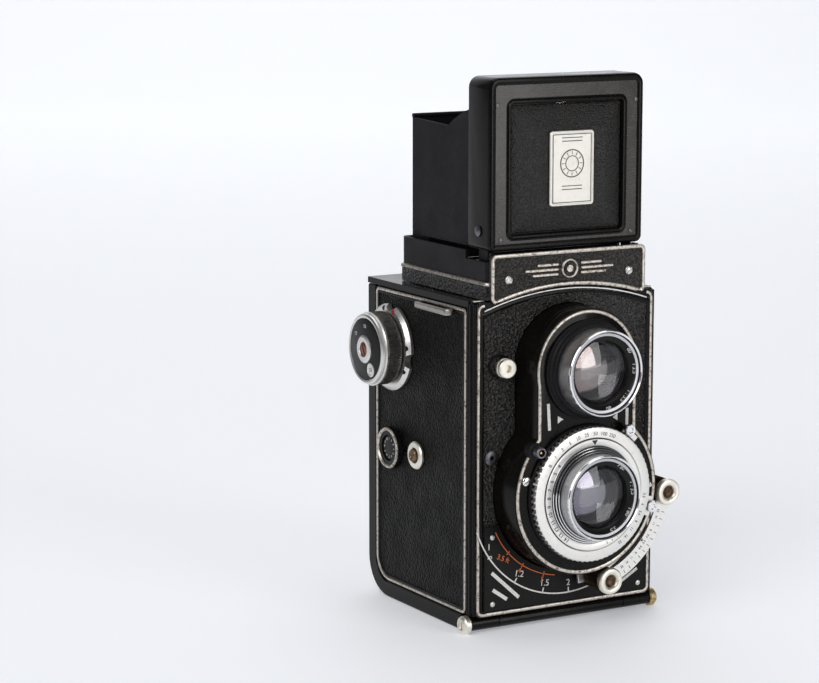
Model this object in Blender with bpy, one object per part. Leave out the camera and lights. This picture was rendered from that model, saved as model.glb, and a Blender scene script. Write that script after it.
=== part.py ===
"""Twin lens reflex camera for 6 x 6 cm pictures on 120 roll film, with its hood open.

Frame: the front faces -Y, the film advance knob is on -X, +Z is up and the underside is z = 0.
Sizes below are millimetres, measured from the front plate's face (y = 0) and the body's middle
plane (x = 0). add() moves the origin to FRAME_ORIGIN, on the underside, and turns them into metres.
"""
from math import atan2, cos, degrees, pi, radians, sin, sqrt

import bmesh
import bpy
from mathutils import Vector

MM = 0.001
FRAME_ORIGIN = (0.0, 22.0, 0.0)
GAP = 0.3                   # clearance between neighbouring solids

# ---- body ---------------------------------------------------------------------------------
HALF_W = 38.5               # half the body's width
DEPTH = 76.0                # front plate to the back door's outer face
SHOULDER_Z = 119.5          # top of the casting
FRONT_Y = (1.2, 4.2)        # front wall of the casting
WALL_X = (34.8, 36.3)       # side walls of the casting, under the covers
COVER_X = (36.6, 38.5)      # side covers
COVER_REAR_Y = 69.7
COVER_FOOT_Z = 6.3
COVER_CORNER_R = 9.5
DOOR_RIM = 6.0              # depth of the back door's rim
DOOR_SKIN = 1.6
DOOR_CORNER_R = 14.0
HINGE_Y, HINGE_Z = 3.2, 3.3  # back door hinge along X
BARREL_R = 2.5
BARREL_HALF = 26.5          # half the length of the door's own barrel

# ---- lenses -------------------------------------------------------------------------------
TAKING_Z = 50.5
VIEWING_Z = 95.0
PANEL_Y = -14.0             # front face of the moving lens panel
PANEL_R_LOW = 30.0
PANEL_R_TOP = 21.5
PANEL_NECK = 21.0
PANEL_SKIN = 1.6
PANEL_REAR_Y = 6.5
RIM_Y = -26.0               # front of both lens barrels
RIM_R = 15.1
SPEED_RING_R = 24.4
LEVER_R = 35.3              # focusing knobs' distance from the taking axis
LEVER_ANGLES = (-72.7, -6.1)
FOCUS_KNOB_R = 4.5

# ---- film transport -----------------------------------------------------------------------
TAKE_UP = (57.3, 95.7)      # y, z of the advance knob and the take-up spool
SUPPLY = (33.0, 15.5)       # y, z of the supply spool
COUNTER = (57.0, 58.0)
COUNTER_BUTTON = (39.0, 58.3)
BUTTON_STEM_HOLE = 1.9      # casting
BUTTON_HEAD_HOLE = 2.9      # cover, so that the head can sink into it
KNOB_R = 13.5
SPOOL_R = 12.5
SPOOL_HALF = 32.9
RELEASE = (-28.4, 96.3)     # x, z of the shutter release
CABLE_SOCKET = (-31.4, 63.7)
FILM_Y = 67.5
GATE_HALF = 28.0

# ---- hood ---------------------------------------------------------------------------------
BASE_X, BASE_Y, BASE_Z = 33.4, (0.0, 61.2), (119.8, 126.0)
COLLAR_X, COLLAR_Y, COLLAR_Z = 32.8, (0.0, 61.0), (126.3, 136.0)
COLLAR_IN_X, COLLAR_IN_Y = 31.6, (3.2, 59.8)
LID_X = 32.2
LID_Y = 0.2                 # front plane of the lid
LID_Z = (136.4, 197.2)
LID_SKIN = 1.1
LID_FLANGE = 14.2
LID_PIVOT = (LID_Y + (LID_FLANGE - 0.1) / 2, LID_Z[0] + (LID_FLANGE - 0.1) / 2)
SECTOR_X = (30.6, 31.1)
EAR_X = (29.7, 30.3)
WING_X = (28.9, 29.4)
REAR_PIVOT = (58.4, 135.0)
REAR_TOP_Z = 180.2
BOX_X = 28.6                # half width of the mirror box
SCREEN_Z = (123.7, 125.5)

BLACK_ENAMEL = (0.015, 0.015, 0.017)
LEATHER = (0.03, 0.028, 0.027)
SATIN_STEEL = (0.72, 0.71, 0.69)
BRIGHT = (0.85, 0.84, 0.82)
BRASS = (0.72, 0.55, 0.28)


# ---- small tools --------------------------------------------------------------------------
def material(name, color, roughness, metallic):
    mat = bpy.data.materials.new(name)
    mat.use_nodes = True
    shader = mat.node_tree.nodes["Principled BSDF"]
    shader.inputs["Base Color"].default_value = (*color, 1.0)
    shader.inputs["Roughness"].default_value = roughness
    shader.inputs["Metallic"].default_value = metallic
    return mat


def add(name, bm, look, origin=(0, 0, 0)):
    """Make an object from a bmesh in millimetres, with its origin on a joint where it moves."""
    bmesh.ops.recalc_face_normals(bm, faces=bm.faces)
    bmesh.ops.translate(bm, verts=bm.verts, vec=-Vector(origin))
    bmesh.ops.scale(bm, verts=bm.verts, vec=(MM, MM, MM))
    mesh = bpy.data.meshes.new(name)
    bm.to_mesh(mesh)
    bm.free()
    mesh.shade_smooth()
    mesh.set_sharp_from_angle(angle=radians(35))
    color, roughness, metallic = look
    mesh.materials.append(material(name, color, roughness, metallic))
    obj = bpy.data.objects.new(name, mesh)
    obj.location = (Vector(origin) - Vector(FRAME_ORIGIN)) * MM
    bpy.context.scene.collection.objects.link(obj)
    return obj


ENAMEL = (BLACK_ENAMEL, 0.25, 0.0)
HIDE = (LEATHER, 0.6, 0.0)
STEEL = (SATIN_STEEL, 0.35, 1.0)
CHROME = (BRIGHT, 0.15, 1.0)
DARK = ((0.02, 0.02, 0.02), 0.6, 0.0)
GLASS = ((0.10, 0.06, 0.08), 0.05, 0.0)
BRASS_LOOK = (BRASS, 0.3, 1.0)
CUTTER = ((1.0, 0.2, 0.2), 0.5, 0.0)


def prism(outline, axis, lo, hi):
    """Extrude a 2-D outline along an axis. Outlines are (y, z), (x, z) or (x, y)."""
    order = {"x": lambda a, b, t: (t, a, b), "y": lambda a, b, t: (a, t, b),
             "z": lambda a, b, t: (a, b, t)}[axis]
    bm = bmesh.new()
    low = [bm.verts.new(order(a, b, lo)) for a, b in outline]
    high = [bm.verts.new(order(a, b, hi)) for a, b in outline]
    bm.faces.new(low)
    bm.faces.new(list(reversed(high)))
    for i in range(len(outline)):
        j = (i + 1) % len(outline)
        bm.faces.new((low[i], high[i], high[j], low[j]))
    return bm


def turned(profile, axis, centre, segments, teeth=0.0):
    """Turn a closed (radius, along) profile round an axis through centre.

    Points with radius 0 lie on the axis. teeth makes the largest radius alternate, as knurling.
    """
    place = {"x": lambda u, v, t: (t, centre[0] + u, centre[1] + v),
             "y": lambda u, v, t: (centre[0] + u, t, centre[1] + v),
             "z": lambda u, v, t: (centre[0] + u, centre[1] + v, t)}[axis]
    widest = max(r for r, _ in profile)
    bm = bmesh.new()
    rings = []
    for r, t in profile:
        if r == 0:
            rings.append([bm.verts.new(place(0, 0, t))])
            continue
        ring = []
        for k in range(segments):
            rr = r - teeth if teeth and r == widest and k % 2 else r
            angle = 2 * pi * k / segments
            ring.append(bm.verts.new(place(rr * cos(angle), rr * sin(angle), t)))
        rings.append(ring)
    for a, b in zip(rings, rings[1:] + rings[:1]):
        if len(a) == 1 and len(b) == 1:
            continue
        for k in range(segments):
            m = (k + 1) % segments
            corners = [a[0]] if len(a) == 1 else [a[k], a[m]]
            corners += [b[0]] if len(b) == 1 else [b[m], b[k]]
            bm.faces.new(corners)
    return bm


def box(lo, hi):
    return prism([(lo[0], lo[1]), (hi[0], lo[1]), (hi[0], hi[1]), (lo[0], hi[1])],
                 "z", lo[2], hi[2])


def arc(centre, radius, start, end, steps):
    """Points on an arc, angles in degrees."""
    return [(centre[0] + radius * cos(radians(start + (end - start) * i / steps)),
             centre[1] + radius * sin(radians(start + (end - start) * i / steps)))
            for i in range(steps + 1)]


def round_rect(lo, hi, radii, steps=5):
    """Rectangle with its own radius at each corner: low-low, high-low, high-high, low-high."""
    corners = ((lo[0], lo[1], 1, 1, 180), (hi[0], lo[1], -1, 1, 270),
               (hi[0], hi[1], -1, -1, 0), (lo[0], hi[1], 1, -1, 90))
    points = []
    for (a, b, sa, sb, start), r in zip(corners, radii):
        if r == 0:
            points.append((a, b))
        else:
            points += arc((a + sa * r, b + sb * r), r, start, start + 90, steps)
    return points


def figure_eight(grow=0.0, steps=22):
    """The lens panel's outline in (x, z): two circles joined by a straight neck."""
    low, top, neck = PANEL_R_LOW + grow, PANEL_R_TOP + grow, PANEL_NECK + grow
    lift = degrees(atan2(sqrt(low ** 2 - neck ** 2), neck))
    rise = degrees(atan2(sqrt(top ** 2 - neck ** 2), neck))
    return (arc((0, TAKING_Z), low, 180 - lift, 360 + lift, steps)
            + arc((0, VIEWING_Z), top, -rise, 180 + rise, steps - 6))


def helper(obj):
    obj.hide_render = True
    obj.display_type = "WIRE"
    return obj


def carve(target, bms, operation="DIFFERENCE"):
    """Cut shapes from an object, or join them to it with UNION."""
    for bm in bms:
        step = len(target.modifiers)
        tool = helper(add(f"{target.name}_tool_{step}", bm, CUTTER))
        mod = target.modifiers.new(f"{operation.title()} {step}", "BOOLEAN")
        mod.operation = operation
        mod.solver = "EXACT"
        mod.object = tool
    return target


def join(target, bms):
    return carve(target, bms, "UNION")


def soften(obj, width, segments=1):
    mod = obj.modifiers.new("Bevel", "BEVEL")
    mod.width = width * MM
    mod.segments = segments
    mod.limit_method = "ANGLE"
    mod.angle_limit = radians(40)
    return obj


def disc(radius, lo, hi):
    """Profile of a plain disc or rod between two stations."""
    return [(0, lo), (radius, lo), (radius, hi), (0, hi)]


def ring(inner, outer, lo, hi):
    return [(inner, lo), (outer, lo), (outer, hi), (inner, hi)]


def rod(axis, centre, radius, lo, hi, segments=16):
    return turned(disc(radius, lo, hi), axis, centre, segments)


def both_sides(lo, hi):
    """The same X span on each side of the body."""
    return (("left", -hi, -lo), ("right", lo, hi))


# ---- casting and covers -------------------------------------------------------------------
def side_outline(front, rear, foot, top, corner):
    """Side view of the body: square at the front, rounded at its rear foot."""
    return round_rect((front, foot), (rear, top), (0, corner, 0, 0), 8)


def body_casting():
    front = soften(add("body_casting", box((-HALF_W, FRONT_Y[0], 6.4),
                                           (HALF_W, FRONT_Y[1], SHOULDER_Z)), ENAMEL), 0.9)
    rear, foot = DEPTH - DOOR_SKIN - 0.5, DOOR_SKIN + 0.5
    corner = DOOR_CORNER_R - DOOR_SKIN - 0.5
    parts = []
    for _, lo, hi in both_sides(*WALL_X):
        wall = [(3.6, 6.4), (9.0, 6.4), (9.0, foot)]
        wall += arc((rear - corner, foot + corner), corner, 270, 360, 8)
        parts.append(prism(wall + [(rear, 118.0), (3.6, 118.0)], "x", lo, hi))
    parts.append(box((-HALF_W, 3.6, 117.3), (HALF_W, DEPTH, SHOULDER_Z)))
    join(front, parts)
    cuts = [box((-31.5, 4.4, 116.0), (31.5, 59.9, 121.0)),
            prism(figure_eight(0.5), "y", 0.5, 5.0),
            rod("x", TAKE_UP, 4.2, -40, -33), rod("x", TAKE_UP, 2.7, 33, 40),
            rod("x", SUPPLY, 2.7, 33, 40), rod("x", COUNTER, 2.3, -40, -33),
            rod("x", COUNTER_BUTTON, BUTTON_STEM_HOLE, -40, -33), rod("y", RELEASE, 1.9, 0, 6),
            rod("y", CABLE_SOCKET, 1.6, 0, 6)]
    for sign in (-1, 1):
        lo, hi = sorted((sign * 30.3, sign * 31.4))
        cuts.append(box((lo, 0.0, 97.5), (hi, 6.0, 121.0)))
    return carve(front, cuts)


def front_plate():
    plate = add("front_plate", prism(round_rect((-37.2, 6.0), (37.2, 119.2), (2, 2, 2, 2)),
                                     "y", 0.0, 0.9), HIDE)
    return carve(plate, [prism(figure_eight(0.5), "y", -1, 2),
                         rod("y", RELEASE, 1.9, -1, 2), rod("y", CABLE_SOCKET, 1.6, -1, 2)])


def side_cover(side, lo, hi):
    outline = side_outline(4.5, COVER_REAR_Y, COVER_FOOT_Z, 117.0, COVER_CORNER_R)
    cover = soften(add(f"side_cover_{side}", prism(outline, "x", lo, hi), HIDE), 0.5)
    if side == "left":
        holes = ((TAKE_UP, 4.2), (COUNTER, 2.3), (COUNTER_BUTTON, BUTTON_HEAD_HOLE))
    else:
        holes = ((TAKE_UP, 2.7), (SUPPLY, 2.7))
    return carve(cover, [rod("x", at, r, lo - 1, hi + 1) for at, r in holes])


def strap_lug(side, sign):
    """A flat bow standing off the side cover, with a slot for the strap."""
    outer = [(38.8, 13.0), (40.6, 13.0), (42.0, 15.2), (42.0, 34.8), (40.6, 37.0), (38.8, 37.0)]
    inner = [(38.8, 34.6), (40.2, 34.0), (40.2, 16.0), (38.8, 15.4)]
    outline = [(sign * x, y) for x, y in outer + inner]
    return soften(add(f"strap_lug_{side}", prism(outline, "z", 113.2, 115.6), CHROME), 0.4)


def cable_socket():
    profile = [(0.8, -1.2), (2.6, -1.2), (2.6, -0.3), (1.3, -0.3), (1.3, 2.6), (0.8, 2.6)]
    return add("cable_socket", turned(profile, "y", CABLE_SOCKET, 16), DARK)


def distance_scale_plate():
    """Lower front plate with the distance scale; its top is hollowed round the lens panel."""
    reach = 34.2
    radius = PANEL_R_LOW + 0.6
    start = 180 + degrees(atan2(TAKING_Z - 39.0, sqrt(radius ** 2 - (TAKING_Z - 39.0) ** 2)))
    hollow = arc((0, TAKING_Z), radius, start, 540 - start, 24)
    outline = [(-reach, 39.0)] + hollow + [(reach, 39.0), (reach, 8.2), (-reach, 8.2)]
    return add("distance_scale_plate", prism(outline, "y", -0.9, -0.3), ENAMEL)


# ---- back door ----------------------------------------------------------------------------
def band(inset, reach, top):
    """L-shaped strip along the foot and the back, inset from the door's outer face."""
    corner = DOOR_CORNER_R - inset
    inner = max(corner - (reach - inset), 1.0)
    centre_out = (DEPTH - DOOR_CORNER_R, DOOR_CORNER_R)
    centre_in = (DEPTH - reach - inner, reach + inner)
    return ([(8.6, inset)] + arc(centre_out, corner, 270, 360, 8)
            + [(DEPTH - inset, top), (DEPTH - reach, top)]
            + arc(centre_in, inner, 360, 270, 8) + [(8.6, reach)])


def back_door():
    """L-shaped door: a thin skin with a deep rim that closes round the casting's edges."""
    door = add("back_door", prism(band(0, DOOR_RIM, 117.0), "x", -HALF_W, HALF_W), ENAMEL,
               (0, HINGE_Y, HINGE_Z))
    soften(door, 0.5)
    hollow = prism(band(DOOR_SKIN, DOOR_RIM + 2, 119.0), "x", -COVER_X[0], COVER_X[0])
    mouth = box((-COVER_X[0], 7.0, DOOR_SKIN), (COVER_X[0], 9.5, 9.0))
    carve(door, [hollow, mouth, rod("z", (0, 38), 5.3, -1, 3)])
    tongue = box((-BARREL_HALF, HINGE_Y, 0.8), (BARREL_HALF, 9.2, 2.2))
    join(door, [tongue, rod("x", (HINGE_Y, HINGE_Z), BARREL_R, -BARREL_HALF, BARREL_HALF)])
    return carve(door, [rod("x", (HINGE_Y, HINGE_Z), 1.3, -30, 30)])


def hinge_pin():
    return add("hinge_pin", rod("x", (HINGE_Y, HINGE_Z), 1.0, -39.4, 39.4), STEEL)


def hinge_end(side, sign):
    """Fixed barrel beside the door's own, ending in a bright cap."""
    start = BARREL_HALF + GAP
    profile = [(1.3, sign * start), (BARREL_R, sign * start), (BARREL_R, sign * 38.4),
               (HINGE_Z, sign * 38.4), (HINGE_Z, sign * 40.9), (2.4, sign * 41.5),
               (0, sign * 41.5), (0, sign * 39.7), (1.3, sign * 39.7)]
    return add(f"hinge_end_{side}", turned(profile, "x", (HINGE_Y, HINGE_Z), 18), STEEL)


def pressure_plate():
    plate = add("pressure_plate", box((-31, 68.0, 20.5), (31, 69.3, 80.5)), DARK)
    posts = [rod("y", (x, z), 2.0, 69.0, DEPTH - DOOR_SKIN - GAP, 16)
             for x in (-18, 18) for z in (34, 67)]
    return join(plate, posts)


def tripod_bush():
    profile = [(3.15, 0.0), (5.0, 0.0), (5.0, 1.9), (8.0, 1.9), (8.0, 3.4), (3.15, 3.4)]
    return add("tripod_bush", turned(profile, "z", (0, 38), 24), STEEL)


def back_latch():
    outline = round_rect((-9, 105.0), (9, 112.0), (3, 3, 3, 3))
    latch = add("back_latch", prism(outline, "y", DEPTH + GAP, DEPTH + 2.0), STEEL)
    return soften(latch, 0.4)


# ---- film transport -----------------------------------------------------------------------
def film_gate():
    """Picture frame with the tapered light box that runs forward to the taking lens."""
    frame = add("film_gate", box((-34.4, 66.0, 20.0), (34.4, FILM_Y, 81.0)), DARK)

    def taper(grow, front, rear):
        bm = bmesh.new()
        rings = []
        for y, half in ((front, 15.0 + grow), (rear, 29.0 + grow)):
            rings.append([bm.verts.new((x, y, TAKING_Z + z)) for x, z in
                          ((-half, -half), (half, -half), (half, half), (-half, half))])
        bm.faces.new(rings[0])
        bm.faces.new(list(reversed(rings[1])))
        for i in range(4):
            j = (i + 1) % 4
            bm.faces.new((rings[0][i], rings[1][i], rings[1][j], rings[0][j]))
        return bm

    join(frame, [taper(1.0, 9.2, 66.5)])
    opening = box((-GATE_HALF, 64.8, TAKING_Z - GATE_HALF), (GATE_HALF, 70, TAKING_Z + GATE_HALF))
    return carve(frame, [taper(-0.2, 8.7, 65.6), opening])


def film_roller(name, z):
    profile = [(0, -33.6), (1.0, -33.6), (1.0, -31.5), (1.9, -31.5), (1.9, 31.5), (1.0, 31.5),
               (1.0, 33.6), (0, 33.6)]
    return add(name, turned(profile, "x", (65.6, z), 16), STEEL)


def take_up_spool():
    edge = SPOOL_HALF - 1.0
    profile = [(2.6, -SPOOL_HALF), (SPOOL_R, -SPOOL_HALF), (SPOOL_R, -edge), (6.0, -edge),
               (6.0, edge), (SPOOL_R, edge), (SPOOL_R, SPOOL_HALF), (2.6, SPOOL_HALF)]
    return add("take_up_spool", turned(profile, "x", TAKE_UP, 24), DARK, (0, *TAKE_UP))


def advance_base_ring():
    profile = [(8.0, -38.8), (16.0, -38.8), (16.0, -40.2), (15.0, -41.3), (8.0, -41.3)]
    return add("advance_base_ring", turned(profile, "x", TAKE_UP, 36), STEEL)


def advance_knob():
    """Knurled knob with its shaft, which keys into the take-up spool."""
    profile = [(0, -29.0), (2.3, -29.0), (2.3, -33.3), (3.8, -33.3), (3.8, -41.7), (12.6, -41.7),
               (KNOB_R, -42.3), (KNOB_R, -48.2), (12.9, -48.9), (12.9, -49.6), (11.6, -50.2),
               (11.2, -49.4), (0, -49.4)]
    return add("advance_knob", turned(profile, "x", TAKE_UP, 36, 0.3), ENAMEL, (0, *TAKE_UP))


def advance_knob_cap():
    profile = [(0, -49.7), (10.8, -49.7), (10.8, -50.3), (4.4, -50.3), (4.4, -51.0), (3.4, -51.3),
               (0, -51.3)]
    return add("advance_knob_cap", turned(profile, "x", TAKE_UP, 24), DARK, (0, *TAKE_UP))


def spool_knob(name, at):
    """Pull-out knob whose pin holds one end of a spool."""
    profile = [(0, 29.6), (2.2, 29.6), (2.2, 38.8), (6.8, 38.8), (7.0, 39.4), (7.0, 43.0),
               (6.2, 43.8), (0, 43.8)]
    return add(name, turned(profile, "x", at, 24, 0.2), STEEL, (0, *at))


def counter_bezel():
    profile = [(4.9, -38.8), (7.8, -38.8), (7.8, -40.9), (7.0, -41.4), (4.9, -41.4)]
    return add("counter_bezel", turned(profile, "x", COUNTER, 32, 0.25), DARK)


def counter_dial():
    profile = [(0, -34.0), (2.0, -34.0), (2.0, -38.8), (4.5, -38.8), (4.5, -40.2), (0, -40.2)]
    return add("counter_dial", turned(profile, "x", COUNTER, 24), DARK, (0, *COUNTER))


def counter_button_bezel():
    profile = [(3.0, -38.8), (5.1, -38.8), (5.1, -39.6), (4.3, -40.1), (3.0, -40.1)]
    return add("counter_button_bezel", turned(profile, "x", COUNTER_BUTTON, 20), CHROME)


def counter_button():
    profile = [(0, -34.6), (1.6, -34.6), (1.6, -39.2), (2.6, -39.2), (2.6, -40.8), (2.1, -41.2),
               (0, -41.2)]
    return add("counter_button", turned(profile, "x", COUNTER_BUTTON, 16), BRASS_LOOK)


def release_button():
    profile = [(0, 1.2), (1.5, 1.2), (1.5, -3.9), (3.3, -3.9), (3.5, -4.3), (3.5, -6.4),
               (3.0, -6.9), (0, -6.9)]
    return add("release_button", turned(profile, "y", RELEASE, 20), CHROME)


# ---- lens panel ---------------------------------------------------------------------------
def lens_panel():
    panel = add("lens_panel", prism(figure_eight(), "y", PANEL_Y, PANEL_REAR_Y), ENAMEL,
                (0, 0, TAKING_Z))
    soften(panel, 0.4)
    return carve(panel, [prism(figure_eight(-1.5), "y", PANEL_Y + PANEL_SKIN, 10.0),
                         rod("y", (0, TAKING_Z), 14.0, -16, -10, 32),
                         rod("y", (0, VIEWING_Z), 13.2, -16, -10, 32)])


def viewing_barrel():
    profile = [(12.0, -6.0), (12.9, -6.0), (12.9, -14.3), (17.8, -14.3), (17.8, -15.4),
               (16.8, -16.4), (16.4, -19.4), (RIM_R, -19.4), (RIM_R, RIM_Y), (14.1, RIM_Y),
               (12.4, -23.5), (12.0, -23.5)]
    return add("viewing_barrel", turned(profile, "y", (0, VIEWING_Z), 32), DARK)


def lens_element(name, centre, front, rear, radius, bulge):
    """A glass element with domed faces."""
    sphere = (radius ** 2 + bulge ** 2) / (2 * bulge)
    half = atan2(radius, sphere - bulge)
    steps = 3
    face = [(sphere * sin(half * i / steps), front - bulge + sphere - sphere * cos(half * i / steps))
            for i in range(steps + 1)]
    return add(name, turned(face + [(radius, rear), (0, rear)], "y", centre, 28), GLASS)


def shutter_housing():
    profile = [(11.2, 2.0), (13.6, 2.0), (13.6, -14.3), (24.8, -14.3), (24.8, -15.6),
               (20.0, -15.6), (20.0, -17.9), (11.2, -17.9)]
    return add("shutter_housing", turned(profile, "y", (0, TAKING_Z), 32), DARK)


def speed_ring():
    profile = ring(20.3, SPEED_RING_R, -18.4, -15.9)
    return add("speed_ring", turned(profile, "y", (0, TAKING_Z), 72, 0.6), CHROME,
               (0, 0, TAKING_Z))


def taking_barrel():
    profile = [(12.0, -18.2), (20.0, -18.2), (20.0, -18.7), (17.6, -18.9), (17.4, -19.7),
               (16.4, -19.9), (RIM_R, -21.6), (RIM_R, RIM_Y), (14.1, RIM_Y), (12.4, -23.5),
               (12.0, -23.5)]
    return add("taking_barrel", turned(profile, "y", (0, TAKING_Z), 32), STEEL)


def ring_lever(name, start, end, knob_angle, look):
    """A sector that swings round the speed ring, with a small knob on it."""
    outline = (arc((0, TAKING_Z), 24.9, start, end, 6)
               + arc((0, TAKING_Z), 27.0, end, start, 6))
    lever = add(name, prism(outline, "y", -17.0, -15.9), look, (0, 0, TAKING_Z))
    at = (27.6 * cos(radians(knob_angle)), TAKING_Z + 27.6 * sin(radians(knob_angle)))
    return join(lever, [rod("y", at, 2.2, -19.8, -15.95)])


def sync_socket():
    profile = [(0, -14.3), (3.0, -14.3), (3.0, -17.8), (2.1, -18.2), (2.1, -21.0), (0, -21.0)]
    return add("sync_socket", turned(profile, "y", (-23.3, 68.3), 16), DARK)


def knob_place(angle):
    return (LEVER_R * cos(radians(angle)), TAKING_Z + LEVER_R * sin(radians(angle)))


def focusing_lever():
    """Sector behind, two knurled posts, and the depth of field arc that joins them in front."""
    low, high = LEVER_ANGLES
    back = (arc((0, TAKING_Z), 31.0, low - 11, high + 11, 14)
            + arc((0, TAKING_Z), 36.4, high + 11, low - 11, 14))
    lever = add("focusing_lever", prism(back, "y", -3.6, -2.4), STEEL, (0, 0, TAKING_Z))
    scale = (arc((0, TAKING_Z), 32.3, low, high, 12) + arc((0, TAKING_Z), 37.7, high, low, 12))
    posts = [turned(disc(FOCUS_KNOB_R, -12.6, -2.3), "y", knob_place(a), 24, 0.3)
             for a in LEVER_ANGLES]
    return join(lever, posts + [prism(scale, "y", -12.3, -11.2)])


def focus_knob(name, angle):
    profile = [(0, -12.9), (4.6, -12.9), (4.8, -13.3), (4.8, -14.9), (4.3, -15.4), (2.6, -15.4),
               (2.0, -14.3), (0, -14.3)]
    return add(name, turned(profile, "y", knob_place(angle), 24), STEEL)


# ---- reflex housing -----------------------------------------------------------------------
MIRROR_LIFT = 57.1          # the mirror box's sloping floor is z = y + MIRROR_LIFT


def mirror_box():
    foot, roof, front, rear = 70.5, 123.4, 8.8, 58.2
    outer = [(front, foot), (foot - MIRROR_LIFT, foot), (rear, rear + MIRROR_LIFT), (rear, roof),
             (front, roof)]
    shift = 1.2 * sqrt(2)
    inner = [(front + 1.2, foot + 1.2), (foot + 1.2 - MIRROR_LIFT - shift, foot + 1.2),
             (rear - 1.2, rear - 1.2 + MIRROR_LIFT + shift), (rear - 1.2, roof + 2),
             (front + 1.2, roof + 2)]
    shell = add("mirror_box", prism(outer, "x", -BOX_X, BOX_X), DARK)
    return carve(shell, [prism(inner, "x", -BOX_X + 1.2, BOX_X - 1.2),
                         rod("y", (0, VIEWING_Z), 13.6, 7.0, 11.0, 28)])


def viewing_mirror():
    lift = MIRROR_LIFT + 1.2 * sqrt(2) + 0.5
    low, high, thick = 15.6, 55.6, 1.5 * sqrt(2)
    outline = [(low, low + lift), (high, high + lift), (high, high + lift + thick),
               (low, low + lift + thick)]
    return add("viewing_mirror", prism(outline, "x", -26.5, 26.5), ((0.8, 0.8, 0.82), 0.03, 1.0))


def focusing_screen():
    return soften(add("focusing_screen", box((-28.4, 9.0, SCREEN_Z[0]), (28.4, 58.0, SCREEN_Z[1])),
                      ((0.75, 0.77, 0.75), 0.35, 0.0)), 0.3, 1)


# ---- hood ---------------------------------------------------------------------------------
def frame_ring(name, half, y_span, z_span, look):
    """Rectangular ring round the hood well, with slots for the hood's side plates."""
    outline = round_rect((-half, y_span[0]), (half, y_span[1]), (2, 2, 2.5, 2.5), 4)
    obj = add(name, prism(outline, "z", *z_span), look)
    cuts = [box((-COLLAR_IN_X, COLLAR_IN_Y[0], 100), (COLLAR_IN_X, COLLAR_IN_Y[1], 150))]
    for sign in (-1, 1):
        lo, hi = sorted((sign * 30.35, sign * 31.4))
        cuts.append(box((lo, 1.1, 100), (hi, 4.0, 150)))
    return carve(obj, cuts)


def hood_base():
    return frame_ring("hood_base", BASE_X, BASE_Y, BASE_Z, HIDE)


def hood_collar():
    """Collar that the hood folds onto, stepped down in front, with an ear for each pivot."""
    collar = frame_ring("hood_collar", COLLAR_X, COLLAR_Y, COLLAR_Z, ENAMEL)
    carve(collar, [box((-40, -1, 133.0), (-31.0, 15.2, 140)), box((31.0, -1, 133.0), (40, 15.2, 140)),
                   box((-29.6, -1, 133.4), (29.6, 3.6, 140)), box((-40, -1, 133.4), (40, 0.9, 140))])
    y, z = LID_PIVOT
    ears = []
    for _, lo, hi in both_sides(*EAR_X):
        ears.append(prism([(1.5, 127.5), (10.2, 127.5), (10.2, z)]
                          + arc((y, z), 2.95, 0, 180, 10) + [(4.3, 132.9), (1.5, 132.9)],
                          "x", lo, hi))
    join(collar, ears)
    return carve(collar, [rod("x", LID_PIVOT, 1.3, lo, hi) for _, lo, hi in both_sides(29.0, 30.9)])


def hood_pivot(side, sign):
    profile = [(0, sign * 29.5), (1.0, sign * 29.5), (1.0, sign * 32.5), (1.9, sign * 32.5),
               (1.7, sign * 33.2), (0, sign * 33.2)]
    return add(f"hood_pivot_{side}", turned(profile, "x", LID_PIVOT, 16), STEEL)


def lid_origin():
    return (0, *LID_PIVOT)


def hood_lid():
    """Pressed tray: a front plate with a flange all round; it caps the collar when shut."""
    z0, z1 = LID_Z
    outer = round_rect((-LID_X, z0), (LID_X, z1), (1.5, 1.5, 4, 4))
    lid = add("hood_lid", prism(outer, "y", LID_Y, LID_Y + LID_FLANGE), ENAMEL, lid_origin())
    soften(lid, 0.9)
    inner = round_rect((-31.4, z0 + 0.9), (31.4, z1 - 0.9), (0.6, 0.6, 3.2, 3.2))
    cuts = [prism(inner, "y", LID_Y + LID_SKIN, 20)]
    for _, lo, hi in both_sides(29.3, 31.4):
        cuts.append(box((lo, LID_Y + LID_SKIN, z0 - 1), (hi, 20, z0 + 2)))
    cuts.append(rod("x", LID_PIVOT, 1.4, -35, 35))
    return carve(lid, cuts)


def lid_panel():
    """Grained panel on the lid's outside, raised in the middle like a flat pyramid."""
    base = [(-22.5, 143.0), (22.5, 143.0), (22.5, 187.0), (-22.5, 187.0)]
    top = [(-16.4, 147.6), (16.4, 147.6), (16.4, 181.9), (-16.4, 181.9)]
    bm = bmesh.new()
    rows = [[bm.verts.new((x, y, z)) for x, z in shape]
            for y, shape in ((LID_Y - GAP, base), (LID_Y - 0.8, base), (LID_Y - 2.0, top))]
    bm.faces.new(rows[0])
    bm.faces.new(list(reversed(rows[-1])))
    for a, b in zip(rows, rows[1:]):
        for i in range(4):
            j = (i + 1) % 4
            bm.faces.new((a[i], b[i], b[j], a[j]))
    return add("lid_panel", bm, HIDE, lid_origin())


def lid_badge():
    outline = round_rect((-9.2, 151.6), (9.2, 178.0), (1, 1, 1, 1), 3)
    return add("lid_badge", prism(outline, "y", LID_Y - 2.9, LID_Y - 2.3), STEEL, lid_origin())


def hood_side(side, lo, hi):
    """Side plate fixed in the lid; its rear edge is an arc, so it clears the rear leaf."""
    front, foot = LID_Y + LID_SKIN + GAP, 137.3
    start = -degrees(atan2(141.0 - foot, 46.0))
    edge = arc((4.0, 141.0), 46.0, start, 76.2, 16)
    outline = [(front, foot)] + edge + [(front, 189.0)]
    plate = add(f"hood_side_{side}", prism(outline, "x", lo, hi), ENAMEL, lid_origin())
    return carve(plate, [rod("x", LID_PIVOT, 1.4, lo - 1, hi + 1)])


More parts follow.
